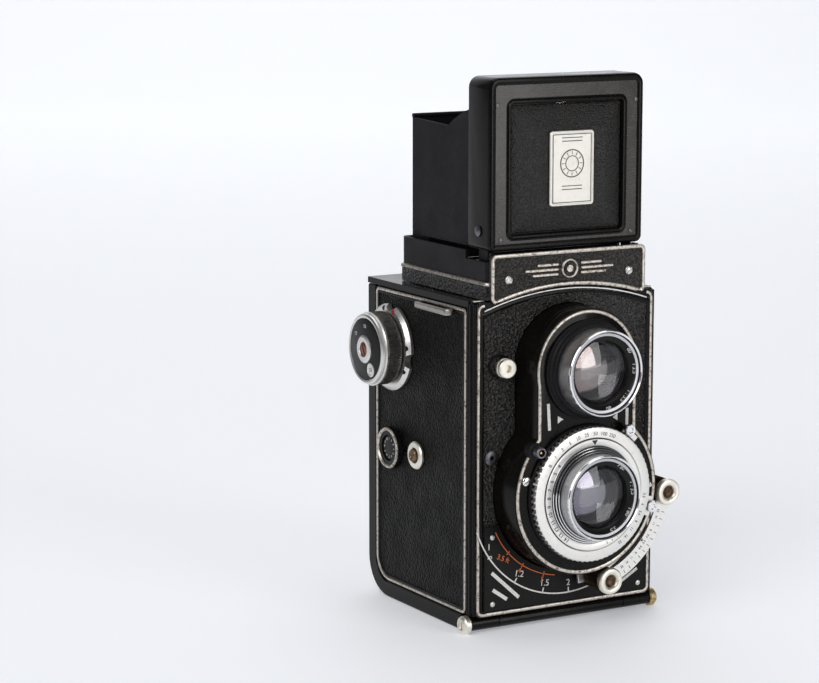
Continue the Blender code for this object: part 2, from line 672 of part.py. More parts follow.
def hood_rear():
    """Rear leaf with its two wings, folded from one sheet, and a rolled top edge."""
    y, z = REAR_PIVOT
    face = (57.9, 58.5)
    leaf = add("hood_rear_panel", box((-WING_X[1], face[0], 135.6), (WING_X[1], face[1], REAR_TOP_Z)),
               ENAMEL, (0, y, z))
    wing = [(58.2, 135.6), (58.2, REAR_TOP_Z - 0.6), (28.2, 178.2), (47.0, 135.6)]
    parts = [prism(wing, "x", lo, hi) for _, lo, hi in both_sides(*WING_X)]
    parts.append(rod("x", (58.2, REAR_TOP_Z), 0.8, -WING_X[1], WING_X[1], 12))
    parts.append(rod("x", (58.3, 135.0), 1.0, -27.0, 27.0, 12))
    return join(leaf, parts)


def magnifier():
    """Swinging frame of the focusing magnifier, stowed flat inside the lid."""
    outline = arc((0, 184.0), 12.0, -50, 230, 18) + [(-8.0, 171.6), (8.0, 171.6)]
    frame = add("magnifier_frame", prism(outline, "y", 2.4, 3.6), DARK, (0, 3.0, 172.2))
    join(frame, [rod("x", (3.0, 172.2), 1.2, -9, 9, 12)])
    return carve(frame, [rod("y", (0, 184.0), 10.3, 0, 6, 24)])


def magnifier_lens():
    rim = 0.5
    profile = [(0, 1.7), (7.0, 1.9), (10.0, 2.4), (10.0, 2.4 + rim), (7.0, 3.7), (0, 4.1)]
    return add("magnifier_lens", turned(profile, "y", (0, 184.0), 24), GLASS)


# ---- name plate ---------------------------------------------------------------------------
def name_plate():
    """Front plate over the hood base, with an arched lower edge."""
    half, foot, rise = 32.5, 119.1, 4.7
    radius = (half ** 2 + rise ** 2) / (2 * rise)
    spread = degrees(atan2(half - 2.0, radius - rise))
    arch = arc((0, foot + rise - radius), radius, 90 + spread, 90 - spread, 16)
    outline = [(-half, 121.0), (-half + 0.6, 119.5)] + arch + [(half - 0.6, 119.5), (half, 121.0)]
    outline += arc((half - 2, 134.0), 2, 0, 90, 4) + arc((-half + 2, 134.0), 2, 90, 180, 4)
    return soften(add("name_plate", prism(outline, "y", -1.6, -0.35), HIDE), 0.3, 1)


def name_plate_screw(side, x):
    profile = [(0, -1.9), (1.5, -1.9), (1.5, -2.2), (0.9, -2.6), (0, -2.6)]
    return add(f"name_plate_screw_{side}", turned(profile, "y", (x, 126.8), 16), STEEL)


# ---- assembly -----------------------------------------------------------------------------
def clear_scene():
    for obj in list(bpy.data.objects):
        bpy.data.objects.remove(obj, do_unlink=True)


def build_body():
    body_casting()
    front_plate()
    for side, lo, hi in both_sides(*COVER_X):
        side_cover(side, lo, hi)
    for side, sign in (("left", -1), ("right", 1)):
        strap_lug(side, sign)
        hinge_end(side, sign)
    hinge_pin()
    cable_socket()
    distance_scale_plate()
    name_plate()
    name_plate_screw("left", -25.3)
    name_plate_screw("right", 25.3)
    back_door()
    pressure_plate()
    tripod_bush()
    back_latch()


def build_transport():
    film_gate()
    film_roller("film_roller_upper", 83.4)
    film_roller("film_roller_lower", 17.3)
    take_up_spool()
    advance_base_ring()
    advance_knob()
    advance_knob_cap()
    spool_knob("spool_knob_upper", TAKE_UP)
    spool_knob("spool_knob_lower", SUPPLY)
    counter_bezel()
    counter_dial()
    counter_button_bezel()
    counter_button()
    release_button()


def build_lenses():
    lens_panel()
    viewing_barrel()
    lens_element("viewing_lens", (0, VIEWING_Z), -21.0, -17.5, 11.6, 1.8)
    shutter_housing()
    speed_ring()
    taking_barrel()
    lens_element("taking_lens", (0, TAKING_Z), -21.0, -18.6, 11.6, 1.8)
    ring_lever("aperture_lever", -24, -8, -15.9, STEEL)
    ring_lever("cocking_lever", 43, 58, 51, STEEL)
    sync_socket()
    focusing_lever()
    focus_knob("focus_knob_lower", LEVER_ANGLES[0])
    focus_knob("focus_knob_upper", LEVER_ANGLES[1])


def build_hood():
    mirror_box()
    viewing_mirror()
    focusing_screen()
    hood_base()
    hood_collar()
    for side, sign in (("left", -1), ("right", 1)):
        hood_pivot(side, sign)
    hood_lid()
    lid_panel()
    lid_badge()
    for side, lo, hi in both_sides(*SECTOR_X):
        hood_side(side, lo, hi)
    hood_rear()
    magnifier()
    magnifier_lens()


clear_scene()
build_body()
build_transport()
build_lenses()
build_hood()
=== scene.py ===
"""Looks of the twin lens reflex camera: materials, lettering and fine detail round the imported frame.

Shapes are written in millimetres from the front plate's face (y = 0), the middle plane (x = 0) and the
underside (z = 0); shape() turns them into the frame's metres. Places come from the CAD nodes' boxes.
"""
from math import atan2, cos, degrees, pi, radians, sin, sqrt

import bmesh
import bpy
from mathutils import Matrix, Vector


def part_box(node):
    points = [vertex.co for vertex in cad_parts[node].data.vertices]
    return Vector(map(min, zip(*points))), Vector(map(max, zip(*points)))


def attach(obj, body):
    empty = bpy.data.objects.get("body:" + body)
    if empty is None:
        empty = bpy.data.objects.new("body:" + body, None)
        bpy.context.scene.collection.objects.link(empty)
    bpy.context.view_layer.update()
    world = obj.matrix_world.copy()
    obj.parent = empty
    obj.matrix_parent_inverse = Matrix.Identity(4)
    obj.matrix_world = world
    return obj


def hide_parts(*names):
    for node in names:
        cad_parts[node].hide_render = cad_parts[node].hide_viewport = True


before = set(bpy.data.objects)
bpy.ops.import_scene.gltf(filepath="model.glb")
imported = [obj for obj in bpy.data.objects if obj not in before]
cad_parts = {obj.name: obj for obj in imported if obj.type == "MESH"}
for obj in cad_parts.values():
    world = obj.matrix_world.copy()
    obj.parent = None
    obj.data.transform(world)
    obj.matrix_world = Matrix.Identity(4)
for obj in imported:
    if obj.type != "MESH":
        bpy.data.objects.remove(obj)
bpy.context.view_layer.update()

MM = 0.001
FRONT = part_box("front_plate")[0][1]     # the front plate's face in the frame


def mm_box(node):
    """A CAD node's corners in this script's millimetres."""
    return [Vector((p[0], p[1] - FRONT, p[2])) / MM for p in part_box(node)]


def middle(node):
    """The middle of a CAD node's box."""
    low, high = mm_box(node)
    return (low + high) / 2


def along_x(node):
    """A node's middle as (y, z)."""
    return tuple(middle(node))[1:]


def along_y(node):
    """A node's middle as (x, z)."""
    return tuple(middle(node))[::2]


# ---- places read from the frame -------------------------------------------------------------
TAKING = along_y("taking_barrel")
VIEWING = along_y("viewing_barrel")
RIM_Y = mm_box("taking_barrel")[0].y
RIM_R = 15.1
PANEL_Y = mm_box("lens_panel")[0].y
PANEL_R = mm_box("lens_panel")[1].x
PANEL_R_TOP = mm_box("lens_panel")[1].z - VIEWING[1]
PANEL_NECK = 21.0
RING_R = mm_box("speed_ring")[1].x
HUB = along_x("advance_knob")
KNOB_FACE_X = mm_box("advance_knob")[0].x
KNOB_R = 13.5
LID_LOW, LID_HIGH = mm_box("hood_lid")
PLATE_LOW, PLATE_HIGH = mm_box("name_plate")
COVER_X = mm_box("side_cover_right")[1].x
KNOB_ANGLES = (-72.7, -6.1)
SIDES = (("left", -1), ("right", 1))
LEVER_R = 35.3


# ---- meshes ---------------------------------------------------------------------------------
def ring_points(centre, radius, start=0.0, end=360.0, steps=48, closed=False):
    """Points on an arc in a plane, angles in degrees; closed leaves the last one out."""
    count = steps if closed else steps + 1
    return [(centre[0] + radius * cos(radians(start + (end - start) * i / steps)),
             centre[1] + radius * sin(radians(start + (end - start) * i / steps)))
            for i in range(count)]


def round_rect(low, high, radii, steps=8):
    """Rectangle with its own radius at each corner: low-low, high-low, high-high, low-high."""
    corners = ((low[0], low[1], 1, 1, 180), (high[0], low[1], -1, 1, 270),
               (high[0], high[1], -1, -1, 0), (low[0], high[1], 1, -1, 90))
    points = []
    for (a, b, sign_a, sign_b, start), r in zip(corners, radii):
        points += ring_points((a + sign_a * r, b + sign_b * r), r, start, start + 90, steps)
    return points


def inset(outline, distance):
    """Move a counter-clockwise outline inwards, mitred at its corners."""
    moved = []
    for i, point in enumerate(outline):
        here = Vector(point)
        into = (here - Vector(outline[i - 1])).normalized()
        away = (Vector(outline[(i + 1) % len(outline)]) - here).normalized()
        side = Vector((-into.y, into.x))
        normal = (side + Vector((-away.y, away.x))).normalized()
        moved.append(tuple(here + normal * distance / max(normal.dot(side), 0.5)))
    return moved


AXES = {"x": lambda a, b, t: (t, a, b), "y": lambda a, b, t: (a, t, b), "z": lambda a, b, t: (a, b, t)}


def loft(rings, closed=False):
    """Skin rings of equal length; a face covers each end, or closed joins the last to the first."""
    bm = bmesh.new()
    rows = [[bm.verts.new(point) for point in ring] for ring in rings]
    count = len(rows[0])
    pairs = list(zip(rows, rows[1:]))
    if closed:
        pairs.append((rows[-1], rows[0]))
    else:
        bm.faces.new(rows[0])
        bm.faces.new(list(reversed(rows[-1])))
    for a, b in pairs:
        for i in range(count):
            j = (i + 1) % count
            bm.faces.new((a[i], b[i], b[j], a[j]))
    return bm


def prism(outline, axis, low, high):
    """Push an outline along an axis from low to high."""
    place = AXES[axis]
    return loft([[place(a, b, low) for a, b in outline], [place(a, b, high) for a, b in outline]])


def box(low, high):
    """A block between two corners."""
    return prism([(low[0], low[1]), (high[0], low[1]), (high[0], high[1]), (low[0], high[1])],
                 "z", low[2], high[2])


def moulding(outline, section, axis):
    """Run a closed (inset, height) section round a closed outline."""
    place = AXES[axis]
    return loft([[place(a, b, height) for a, b in inset(outline, distance)]
                 for distance, height in section], closed=True)


def strip(path, section, axis):
    """Run a closed (inset, height) section along an open path."""
    first = Vector(path[0]) * 2 - Vector(path[1])
    last = Vector(path[-1]) * 2 - Vector(path[-2])
    whole = [tuple(first)] + list(path) + [tuple(last)]
    rows = [inset(whole, distance)[1:-1] for distance, _ in section]
    return loft([[AXES[axis](*row[i], height) for row, (_, height) in zip(rows, section)]
                 for i in range(len(path))])


def bead(width, foot, top):
    """Half-round section between two heights, for moulding()."""
    half = width / 2
    crown = [(-half * cos(pi * i / 6), foot + (top - foot) * (0.35 + 0.65 * sin(pi * i / 6)))
             for i in range(7)]
    return [(-half, foot)] + crown + [(half, foot)]


def lathe(profile, axis, centre, segments, teeth=0.0, tooth=(1, 0)):
    """Turn a closed (radius, along) profile; teeth cut into its widest radius where tooth has 0."""
    place = AXES[axis]
    widest = max(r for r, _ in profile)
    bm = bmesh.new()
    rows = []
    for r, along in profile:
        if r == 0:
            rows.append([bm.verts.new(place(centre[0], centre[1], along))])
            continue
        row = []
        for k in range(segments):
            depth = 0.0 if r < widest or tooth[k % len(tooth)] else teeth
            angle = 2 * pi * k / segments
            row.append(bm.verts.new(place(centre[0] + (r - depth) * cos(angle),
                                          centre[1] + (r - depth) * sin(angle), along)))
        rows.append(row)
    for a, b in zip(rows, rows[1:] + rows[:1]):
        if len(a) == 1 and len(b) == 1:
            continue
        for k in range(segments):
            m = (k + 1) % segments
            corners = [a[0]] if len(a) == 1 else [a[k], a[m]]
            corners += [b[0]] if len(b) == 1 else [b[m], b[k]]
            bm.faces.new(corners)
    return bm


def rod(axis, centre, radius, low, high, segments):
    """A plain round bar."""
    return lathe([(0, low), (radius, low), (radius, high), (0, high)], axis, centre, segments)


def merged(bms):
    """Several meshes in one."""
    total = bmesh.new()
    for bm in bms:
        mesh = bpy.data.meshes.new("part")
        bm.to_mesh(mesh)
        bm.free()
        total.from_mesh(mesh)
        bpy.data.meshes.remove(mesh)
    return total


def cut(bm, tools):
    """bm without the tools' shapes."""
    def plain(mesh_bm):
        """An object in the scene, for the modifiers to work on."""
        bmesh.ops.recalc_face_normals(mesh_bm, faces=mesh_bm.faces)
        mesh = bpy.data.meshes.new("cut")
        mesh_bm.to_mesh(mesh)
        mesh_bm.free()
        obj = bpy.data.objects.new("cut", mesh)
        bpy.context.scene.collection.objects.link(obj)
        return obj

    target = plain(bm)
    helpers = [plain(tool) for tool in tools]
    for helper in helpers:
        modifier = target.modifiers.new("cut", "BOOLEAN")
        modifier.object = helper
        modifier.solver = "EXACT"
    graph = bpy.context.evaluated_depsgraph_get()
    result = bmesh.new()
    result.from_mesh(target.evaluated_get(graph).to_mesh())
    for obj in [target] + helpers:
        bpy.data.objects.remove(obj, do_unlink=True)
    return result


def shape(name, bm, look, body="camera_body", nodes=(), slot="", sharp=35, bevel=0.0):
    """Make a piece from a mesh in millimetres, attach it to its body and hide the CAD nodes it replaces.
    """
    bmesh.ops.recalc_face_normals(bm, faces=bm.faces)
    for vert in bm.verts:
        vert.co = vert.co * MM + Vector((0, FRONT, 0))
    mesh = bpy.data.meshes.new(name)
    bm.to_mesh(mesh)
    bm.free()
    mesh.shade_smooth()
    mesh.set_sharp_from_angle(angle=radians(sharp))
    mesh.materials.append(look)
    piece = bpy.data.objects.new(name, mesh)
    bpy.context.scene.collection.objects.link(piece)
    if bevel:
        modifier = piece.modifiers.new("Bevel", "BEVEL")
        modifier.width = bevel * MM
        modifier.segments = 3
        modifier.limit_method = "ANGLE"
        modifier.angle_limit = radians(40)
    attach(piece, body)
    slot or SLOTS[look]
    if nodes:
        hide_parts(*nodes)


# ---- lettering ------------------------------------------------------------------------------
LETTER_DEPTH = 0.06


def letters(entries):
    """Numerals as one mesh. Each entry is (text, height in mm, matrix in mm)."""
    total = bmesh.new()
    graph = bpy.context.evaluated_depsgraph_get()
    for text, size, matrix in entries:
        curve = bpy.data.curves.new("numeral", "FONT")
        curve.body = text
        curve.size = size
        curve.align_x = "CENTER"
        curve.align_y = "CENTER"
        curve.extrude = LETTER_DEPTH / 2
        curve.resolution_u = 4
        source = bpy.data.objects.new("numeral", curve)
        bpy.context.scene.collection.objects.link(source)
        graph.update()
        mesh = bpy.data.meshes.new_from_object(source.evaluated_get(graph))
        mesh.transform(matrix)
        total.from_mesh(mesh)
        bpy.data.objects.remove(source, do_unlink=True)
        bpy.data.meshes.remove(mesh)
        bpy.data.curves.remove(curve)
    return total


def facing_front(x, y, z, turn=0.0):
    """Stand lettering on a face that looks to -Y, turned by so many degrees."""
    a = radians(turn)
    return Matrix(((cos(a), -sin(a), 0, x), (0, 0, -1, y), (sin(a), cos(a), 0, z), (0, 0, 0, 1)))


def facing_left(x, y, z, turn=0.0):
    """The same on a face that looks to -X."""
    a = radians(turn)
    return Matrix(((0, 0, -1, x), (-cos(a), sin(a), 0, y), (sin(a), cos(a), 0, z), (0, 0, 0, 1)))


def round_dial(words, centre, radius, y, size, start, step):
    """Lettering round a dial on the front, its feet towards the centre."""
    entries = []
    for i, word in enumerate(words):
        a = start + step * i
        x, z = polar(centre, radius, a)
        entries.append((word, size, facing_front(x, y, z, a - 90)))
    return entries


def polar(centre, radius, angle):
    """The point at so many degrees on a circle."""
    return (centre[0] + radius * cos(radians(angle)), centre[1] + radius * sin(radians(angle)))


def tick(centre, angle, inner, outer, width, low, high, axis="y"):
    """A radial mark on a dial."""
    half = degrees(width / 2 / outer)
    outline = [polar(centre, inner, angle - half), polar(centre, outer, angle - half),
               polar(centre, outer, angle + half), polar(centre, inner, angle + half)]
    return prism(outline, axis, low, high)


def arc_band(centre, inner, outer, start, end, steps):
    """Outline of a part of a flat ring."""
    return ring_points(centre, outer, start, end, steps) + ring_points(centre, inner, end, start, steps)


def bar(a, b, width, low, high):
    """A straight bar on the front between two (x, z) points."""
    run = (Vector(b) - Vector(a)).normalized()
    side = Vector((-run.y, run.x)) * width / 2
    outline = [tuple(Vector(p) + s) for p, s in ((a, -side), (b, -side), (b, side), (a, side))]
    return prism(outline, "y", low, high)


# ---- materials ------------------------------------------------------------------------------
class Look:
    """A procedural material while it is put together; lengths are in millimetres."""

    def __init__(self, name, color, roughness, metallic=0.0, coat=0.0, specular=0.5):
        self.material = bpy.data.materials.new(name)
        self.material.use_nodes = True
        self.tree = self.material.node_tree
        self.shader = self.tree.nodes["Principled BSDF"]
        self.set(base_color=(*color, 1.0), roughness=roughness, metallic=metallic, coat_weight=coat,
                 coat_roughness=0.06, specular_ior_level=specular)
        self.places = {}

    def set(self, **values):
        """Give the shader's sockets values or links; roughness=0.2 sets "Roughness"."""
        for word, value in values.items():
            socket = self.shader.inputs[word.replace("_", " ").title().replace("Ior", "IOR")]
            self.connect(socket, value)

    def connect(self, socket, value):
        """Link a socket to an output, or set it to a value."""
        if isinstance(value, bpy.types.NodeSocket):
            self.tree.links.new(value, socket)
        else:
            socket.default_value = value

    def add(self, kind, feeds, **settings):
        """A shader node with its inputs fed and its properties set."""
        node = self.tree.nodes.new("ShaderNode" + kind)
        for setting, value in settings.items():
            setattr(node, setting, value)
        for socket, value in feeds.items():
            self.connect(node.inputs[socket], value)
        return node

    def place(self, stretch=(1, 1, 1), shift=(0, 0, 0)):
        """Texture coordinates in millimetres that move with the piece."""
        if (stretch, shift) not in self.places:
            feeds = {"Vector": self.add("TexCoord", {}).outputs["Object"], "Location": shift,
                     "Scale": [s / MM for s in stretch]}
            self.places[stretch, shift] = self.add("Mapping", feeds).outputs["Vector"]
        return self.places[stretch, shift]

    def noise(self, scale, detail, roughness=0.5, stretch=(1, 1, 1)):
        """Cloudy noise from 0 to 1."""
        return self.add("TexNoise", {"Vector": self.place(stretch), "Scale": scale, "Detail": detail,
                                     "Roughness": roughness}).outputs["Fac"]

    def cells(self, scale):
        """Distance from the middles of rounded cells."""
        return self.add("TexVoronoi", {"Vector": self.place(), "Scale": scale},
                        feature="SMOOTH_F1").outputs["Distance"]

    def ramp(self, value, *stops):
        """Colour ramp through (position, colour or number) stops."""
        node = self.add("ValToRGB", {"Fac": value})
        elements = node.color_ramp.elements
        while len(elements) < len(stops):
            elements.new(0.5)
        for element, (position, tone) in zip(elements, stops):
            element.position = position
            element.color = (tone, tone, tone, 1) if isinstance(tone, (int, float)) else (*tone, 1)
        return node.outputs["Color"]

    def times(self, a, b):
        return self.add("Math", {0: a, 1: b}, operation="MULTIPLY").outputs["Value"]

    def plus(self, a, b):
        return self.add("Math", {0: a, 1: b}, operation="ADD").outputs["Value"]

    def bump(self, height, distance, strength=1.0):
        """Surface relief; distance is in millimetres."""
        node = self.add("Bump", {"Height": height, "Distance": distance * MM, "Strength": strength})
        self.set(normal=node.outputs["Normal"])


def leatherette(name, scale, relief, tone, shine, specular=0.3, glint_gain=4.5):
    """Pebbled covering: raised cells with fine wrinkles between them; its colour is painted lighter on
    the cell tops as painted glints and darker in the grooves as painted shade.
    """
    look = Look(name, tone, shine, specular=specular)
    drift = look.noise(scale * 0.8, 2.0)
    pebble = look.ramp(look.cells(scale), (0.0, 1.0), (0.30, 0.85), (0.62, 0.0))
    wrinkle = look.noise(scale * 3.2, 5.0, 0.65)
    height = look.plus(look.times(pebble, 0.75), look.times(wrinkle, 0.5))
    look.bump(look.plus(height, look.times(drift, 0.5)), relief)
    # painted shade in the grooves and painted glints on the pebble tops, chosen by the height of the
    # grain
    painted_groove_shade = tuple(c * 0.25 for c in tone)
    painted_glint = tuple(min(c * glint_gain, 1) for c in tone)
    look.set(base_color=look.ramp(height, (0.4, painted_groove_shade), (0.72, tone), (1.0, painted_glint)),
             roughness=look.ramp(look.noise(0.11, 3.0), (0.3, shine - 0.07), (0.7, shine + 0.1)))
    return look.material


def enamel(name, tone, roughness, coat, specular=0.3):
    """Baked black enamel with faint orange peel, handling marks and dust."""
    look = Look(name, tone, roughness, coat=coat, specular=specular)
    marks = look.times(look.noise(0.09, 5.0, 0.6), look.noise(1.2, 3.0, stretch=(0.25, 4.0, 4.0)))
    dusty = tuple(c * 2.4 + 0.006 for c in tone)
    look.set(roughness=look.ramp(marks, (0.15, roughness), (0.5, roughness + 0.22)),
             base_color=look.ramp(look.noise(1.7, 6.0, 0.7), (0.45, tone), (0.85, dusty)))
    look.bump(look.noise(0.9, 2.0), 0.02, 0.6)
    return look.material


def bare_metal(name, bright, dull, roughness, spots):
    """Plated metal with fine unevenness and tarnish spots; more spots as the number falls."""
    look = Look(name, bright, roughness, metallic=1.0)
    fine = look.noise(2.5, 4.0)
    patch = look.noise(0.75, 6.0, 0.72)
    uneven = look.plus(look.times(fine, 0.6), look.times(patch, 0.4))
    look.set(base_color=look.ramp(patch, (spots - 0.1, bright), (spots + 0.06, dull)),
             roughness=look.ramp(uneven, (0.3, roughness * 0.75), (0.75, min(roughness * 1.7, 1))))
    look.bump(fine, 0.012, 0.5)
    return look.material


def ink(name, tone):
    """Paint filled into engraving, slightly uneven."""
    look = Look(name, tone, 0.5)
    faded = tuple(c * 0.72 for c in tone)
    look.set(base_color=look.ramp(look.noise(2.2, 5.0, 0.7), (0.35, faded), (0.6, tone)))
    return look.material


def clear_glass(name, tint):
    """Glass with a few faint smears."""
    look = Look(name, tint, 0.01)
    look.set(transmission_weight=1.0, ior=1.5,
             roughness=look.ramp(look.noise(0.35, 6.0, 0.75), (0.62, 0.0), (0.9, 0.06)))
    return look.material


def coated(name, inner, outer, centre, reach):
    """Inner lens surface: its coating turns from one colour to another over the dome."""
    look = Look(name, inner, 0.03, metallic=0.9)
    shift = (-centre[0] / reach, 0, -centre[1] / reach)
    spread = look.add("VectorMath", {0: look.place((1 / reach, 0, 1 / reach), shift)}, operation="LENGTH")
    look.set(base_color=look.ramp(spread.outputs["Value"], (0.45, inner), (1.0, outer)))
    return look.material


# the last number sets how much lighter the pebble tops are painted, as painted glints
LEATHER = leatherette("pebble_leatherette", 1.15, 1.0, (0.0072, 0.0063, 0.0054), 0.24, 0.7, 9.5)
# painted shade: the front's pebbled covering again, made darker and duller for the side covers
SHADED_SIDE_LEATHER = leatherette("side_leatherette_painted_shade", 1.3, 0.5, (0.0042, 0.0038, 0.0035), 0.36, 0.09, 3.5)
PLATE_LEATHER = leatherette("plate_leatherette", 1.5, 0.45, (0.033, 0.030, 0.026), 0.36, 0.35, 2.2)
FINE_LEATHER = leatherette("fine_leatherette", 1.9, 0.4, (0.011, 0.010, 0.0095), 0.36)
CRINKLE = leatherette("crinkle_lacquer", 1.9, 0.35, (0.0085, 0.0072, 0.0062), 0.3, 0.5, 3.5)
ENAMEL = enamel("black_enamel", (0.0034, 0.0027, 0.0022), 0.12, 0.05, 0.12)
SATIN = enamel("satin_lacquer", (0.0075, 0.007, 0.008), 0.42, 0.0, 0.14)
MATTE = enamel("matte_lacquer", (0.0078, 0.0068, 0.0088), 0.5, 0.0, 0.14)
TRIM = bare_metal("worn_trim", (0.62, 0.57, 0.51), (0.11, 0.08, 0.06), 0.34, 0.60)
NICKEL = bare_metal("satin_nickel", (0.74, 0.73, 0.70), (0.36, 0.33, 0.29), 0.3, 0.68)
DIAL = bare_metal("frosted_dial", (0.80, 0.785, 0.76), (0.5, 0.47, 0.42), 0.36, 0.70)
GRIP = bare_metal("grip_metal", (0.26, 0.25, 0.24), (0.08, 0.075, 0.07), 0.36, 0.6)
CHROME = bare_metal("bright_chrome", (0.86, 0.86, 0.86), (0.5, 0.49, 0.47), 0.1, 0.74)
BRASS = bare_metal("worn_brass", (0.62, 0.47, 0.24), (0.22, 0.15, 0.07), 0.3, 0.58)
LUG = bare_metal("worn_lug", (0.42, 0.40, 0.37), (0.16, 0.14, 0.12), 0.3, 0.62)
OLD_BRASS = bare_metal("old_brass", (0.26, 0.19, 0.11), (0.09, 0.06, 0.035), 0.38, 0.56)
SMOKED = bare_metal("smoked_metal", (0.18, 0.18, 0.20), (0.05, 0.05, 0.055), 0.34, 0.6)
IVORY = bare_metal("ivory_metal", (0.86, 0.82, 0.73), (0.5, 0.44, 0.34), 0.34, 0.7)
BROWN = bare_metal("brown_core", (0.13, 0.085, 0.055), (0.045, 0.03, 0.022), 0.4, 0.55)
COPPER = bare_metal("copper_screw", (0.30, 0.13, 0.09), (0.12, 0.05, 0.04), 0.32, 0.6)
MIRROR = bare_metal("front_mirror", (0.9, 0.9, 0.92), (0.8, 0.8, 0.82), 0.02, 0.8)
WHITE = ink("white_fill", (0.82, 0.80, 0.76))
ORANGE = ink("orange_fill", (0.80, 0.18, 0.03))
BLACK = ink("black_fill", (0.012, 0.012, 0.012))
RED = ink("red_fill", (0.55, 0.02, 0.03))
GLASS = clear_glass("lens_glass", (0.97, 0.96, 1.0))
WINDOW = clear_glass("window_glass", (0.95, 0.97, 0.96))
GROUND = Look("ground_glass", (0.62, 0.66, 0.64), 0.35, specular=0.6).material
AMBER = coated("amber_coating", (0.26, 0.235, 0.21), (0.17, 0.05, 0.05), VIEWING, 11.0)
VIOLET = coated("violet_coating", (0.24, 0.235, 0.25), (0.085, 0.055, 0.17), TAKING, 11.0)
SLEEVE = bare_metal("grey_sleeve", (0.5, 0.5, 0.52), (0.24, 0.24, 0.25), 0.28, 0.68)
FINE_PLATE = enamel("scale_plate_black", (0.006, 0.0057, 0.0053), 0.36, 0.0, 0.14)
FACE_BLACK = enamel("face_black", (0.006, 0.0058, 0.0056), 0.3, 0.05, 0.18)
# painted sheen: the black enamel made lighter and brownish for the lid's recessed face
LID_SHEEN_ENAMEL = enamel("lid_enamel_painted_sheen", (0.027, 0.0225, 0.019), 0.16, 0.05, 0.5)
SPOOL = enamel("spool_paint", (0.012, 0.012, 0.012), 0.35, 0.2)
BADGE = bare_metal("badge_silver", (0.74, 0.715, 0.665), (0.5, 0.47, 0.42), 0.4, 0.7)
BADGE_INK = ink("badge_ink", (0.08, 0.075, 0.07))

# The slot for each look; a piece that wants another one says so.
SLOTS = {look: slot for slot, looks in {
    "black_enamel": (ENAMEL, LID_SHEEN_ENAMEL),
    "black_satin": (SATIN, MATTE, FACE_BLACK, SMOKED, GRIP),
    "leatherette": (LEATHER, PLATE_LEATHER, CRINKLE),
    "satin_steel": (TRIM, NICKEL, DIAL, BADGE, BADGE_INK, BLACK, RED, COPPER, SLEEVE),
    "chrome_bright": (CHROME, LUG),
    "lens_glass": (GLASS, AMBER, VIOLET, WINDOW),
    "scale_plate": (FINE_PLATE, ORANGE),
    "brass_worn": (OLD_BRASS,)}.items() for look in looks}


# ---- body -----------------------------------------------------------------------------------
TRIM_W, TRIM_H = 1.15, 0.38


def front():
    """Trim round the front plate, the arched upper edge of its leather, and a bright strip along the arch
    as a painted highlight of that edge.
    """
    low, high = mm_box("front_plate")
    left, right, foot = low.x + 0.8, high.x - 0.8, low.z + 0.8
    crown, radius, spread = 121.9, 104.3, 19.2
    arch = ring_points((0, crown - radius), radius, 90 - spread, 90 + spread, 48)
    lower = (ring_points((left + 2, foot + 2), 2, 180, 270, 8)
             + ring_points((right - 2, foot + 2), 2, 270, 360, 8))
    path = (ring_points((left + 2, 116), 2, 85, 180, 8) + lower
            + ring_points((right - 2, 116), 2, 0, 95, 8))
    front_bead = [(d, -h) for d, h in bead(TRIM_W, -0.05, TRIM_H)]
    shape("front_trim", strip(path, front_bead, "y"), TRIM)
    edge = (arch + ring_points((left + 1.8, arch[-1][1] - 1.6), 1.8, 110, 180, 6) + lower
            + ring_points((right - 1.8, arch[0][1] - 1.6), 1.8, 0, 70, 6))
    border = [(0.7, 0.05), (0.7, -0.22), (1.0, -0.3), (1.7, -0.3), (2.1, -0.12), (2.1, 0.05)]
    shape("front_border", moulding(edge, border, "y"), ENAMEL)
    # painted highlight: a bright nickel strip along the arched top edge, where the casting shows only an
    # edge highlight
    highlight_strip = arc_band((0, crown - radius), radius - 0.25, radius + 0.3, 90 - spread, 90 + spread, 48)
    shape("arch_highlight_strip", prism(highlight_strip, "y", -0.5, 0.02), NICKEL, bevel=0.15)
    crest = [p for p in arch if p[1] > 118.4]
    shape("arch_leather", prism(crest, "y", -0.25, -0.02), LEATHER)
    for name, sign in SIDES:
        under = sorted(((abs(x), z) for x, z in arch if z < 118.9 and x > 0), reverse=True)
        fill = under + [(under[-1][0], 119.1), (35.9, 119.1), (35.9, under[0][1])]
        shape(f"arch_corner_{name}", prism([(sign * x, z) for x, z in fill], "y", -0.2, 0.02), ENAMEL)


def side(name, sign):
    """Worn trim near the edge of a side cover, and a low black line inside it."""
    low, high = mm_box(f"side_cover_{name}")
    edge = round_rect((low.y + 0.9, low.z + 0.9), (high.y - 0.9, high.z - 0.9), (1.6, 8.6, 1.6, 1.6), 12)
    outside = [(d, sign * (COVER_X + h)) for d, h in bead(TRIM_W, -0.05, TRIM_H)]
    shape(f"side_trim_{name}", moulding(edge, outside, "x"), TRIM)
    border = [(d, sign * (COVER_X + h)) for d, h in
              ((0.7, -0.05), (0.7, 0.2), (1.0, 0.26), (1.4, 0.2), (1.5, -0.05))]
    shape(f"side_border_{name}", moulding(edge, border, "x"), ENAMEL)


def corner_ribs():
    """Rounded ribs on the casting's front corners, between the front and side coverings."""
    for name, sign in SIDES:
        ribs = [rod("z", (sign * (COVER_X - inside), y), 0.62, 6.6, 118.6, 24)
                for inside, y in ((0.9, 0.75), (0.35, 2.35), (0.35, 3.75))]
        shape(f"corner_ribs_{name}", merged(ribs), ENAMEL)


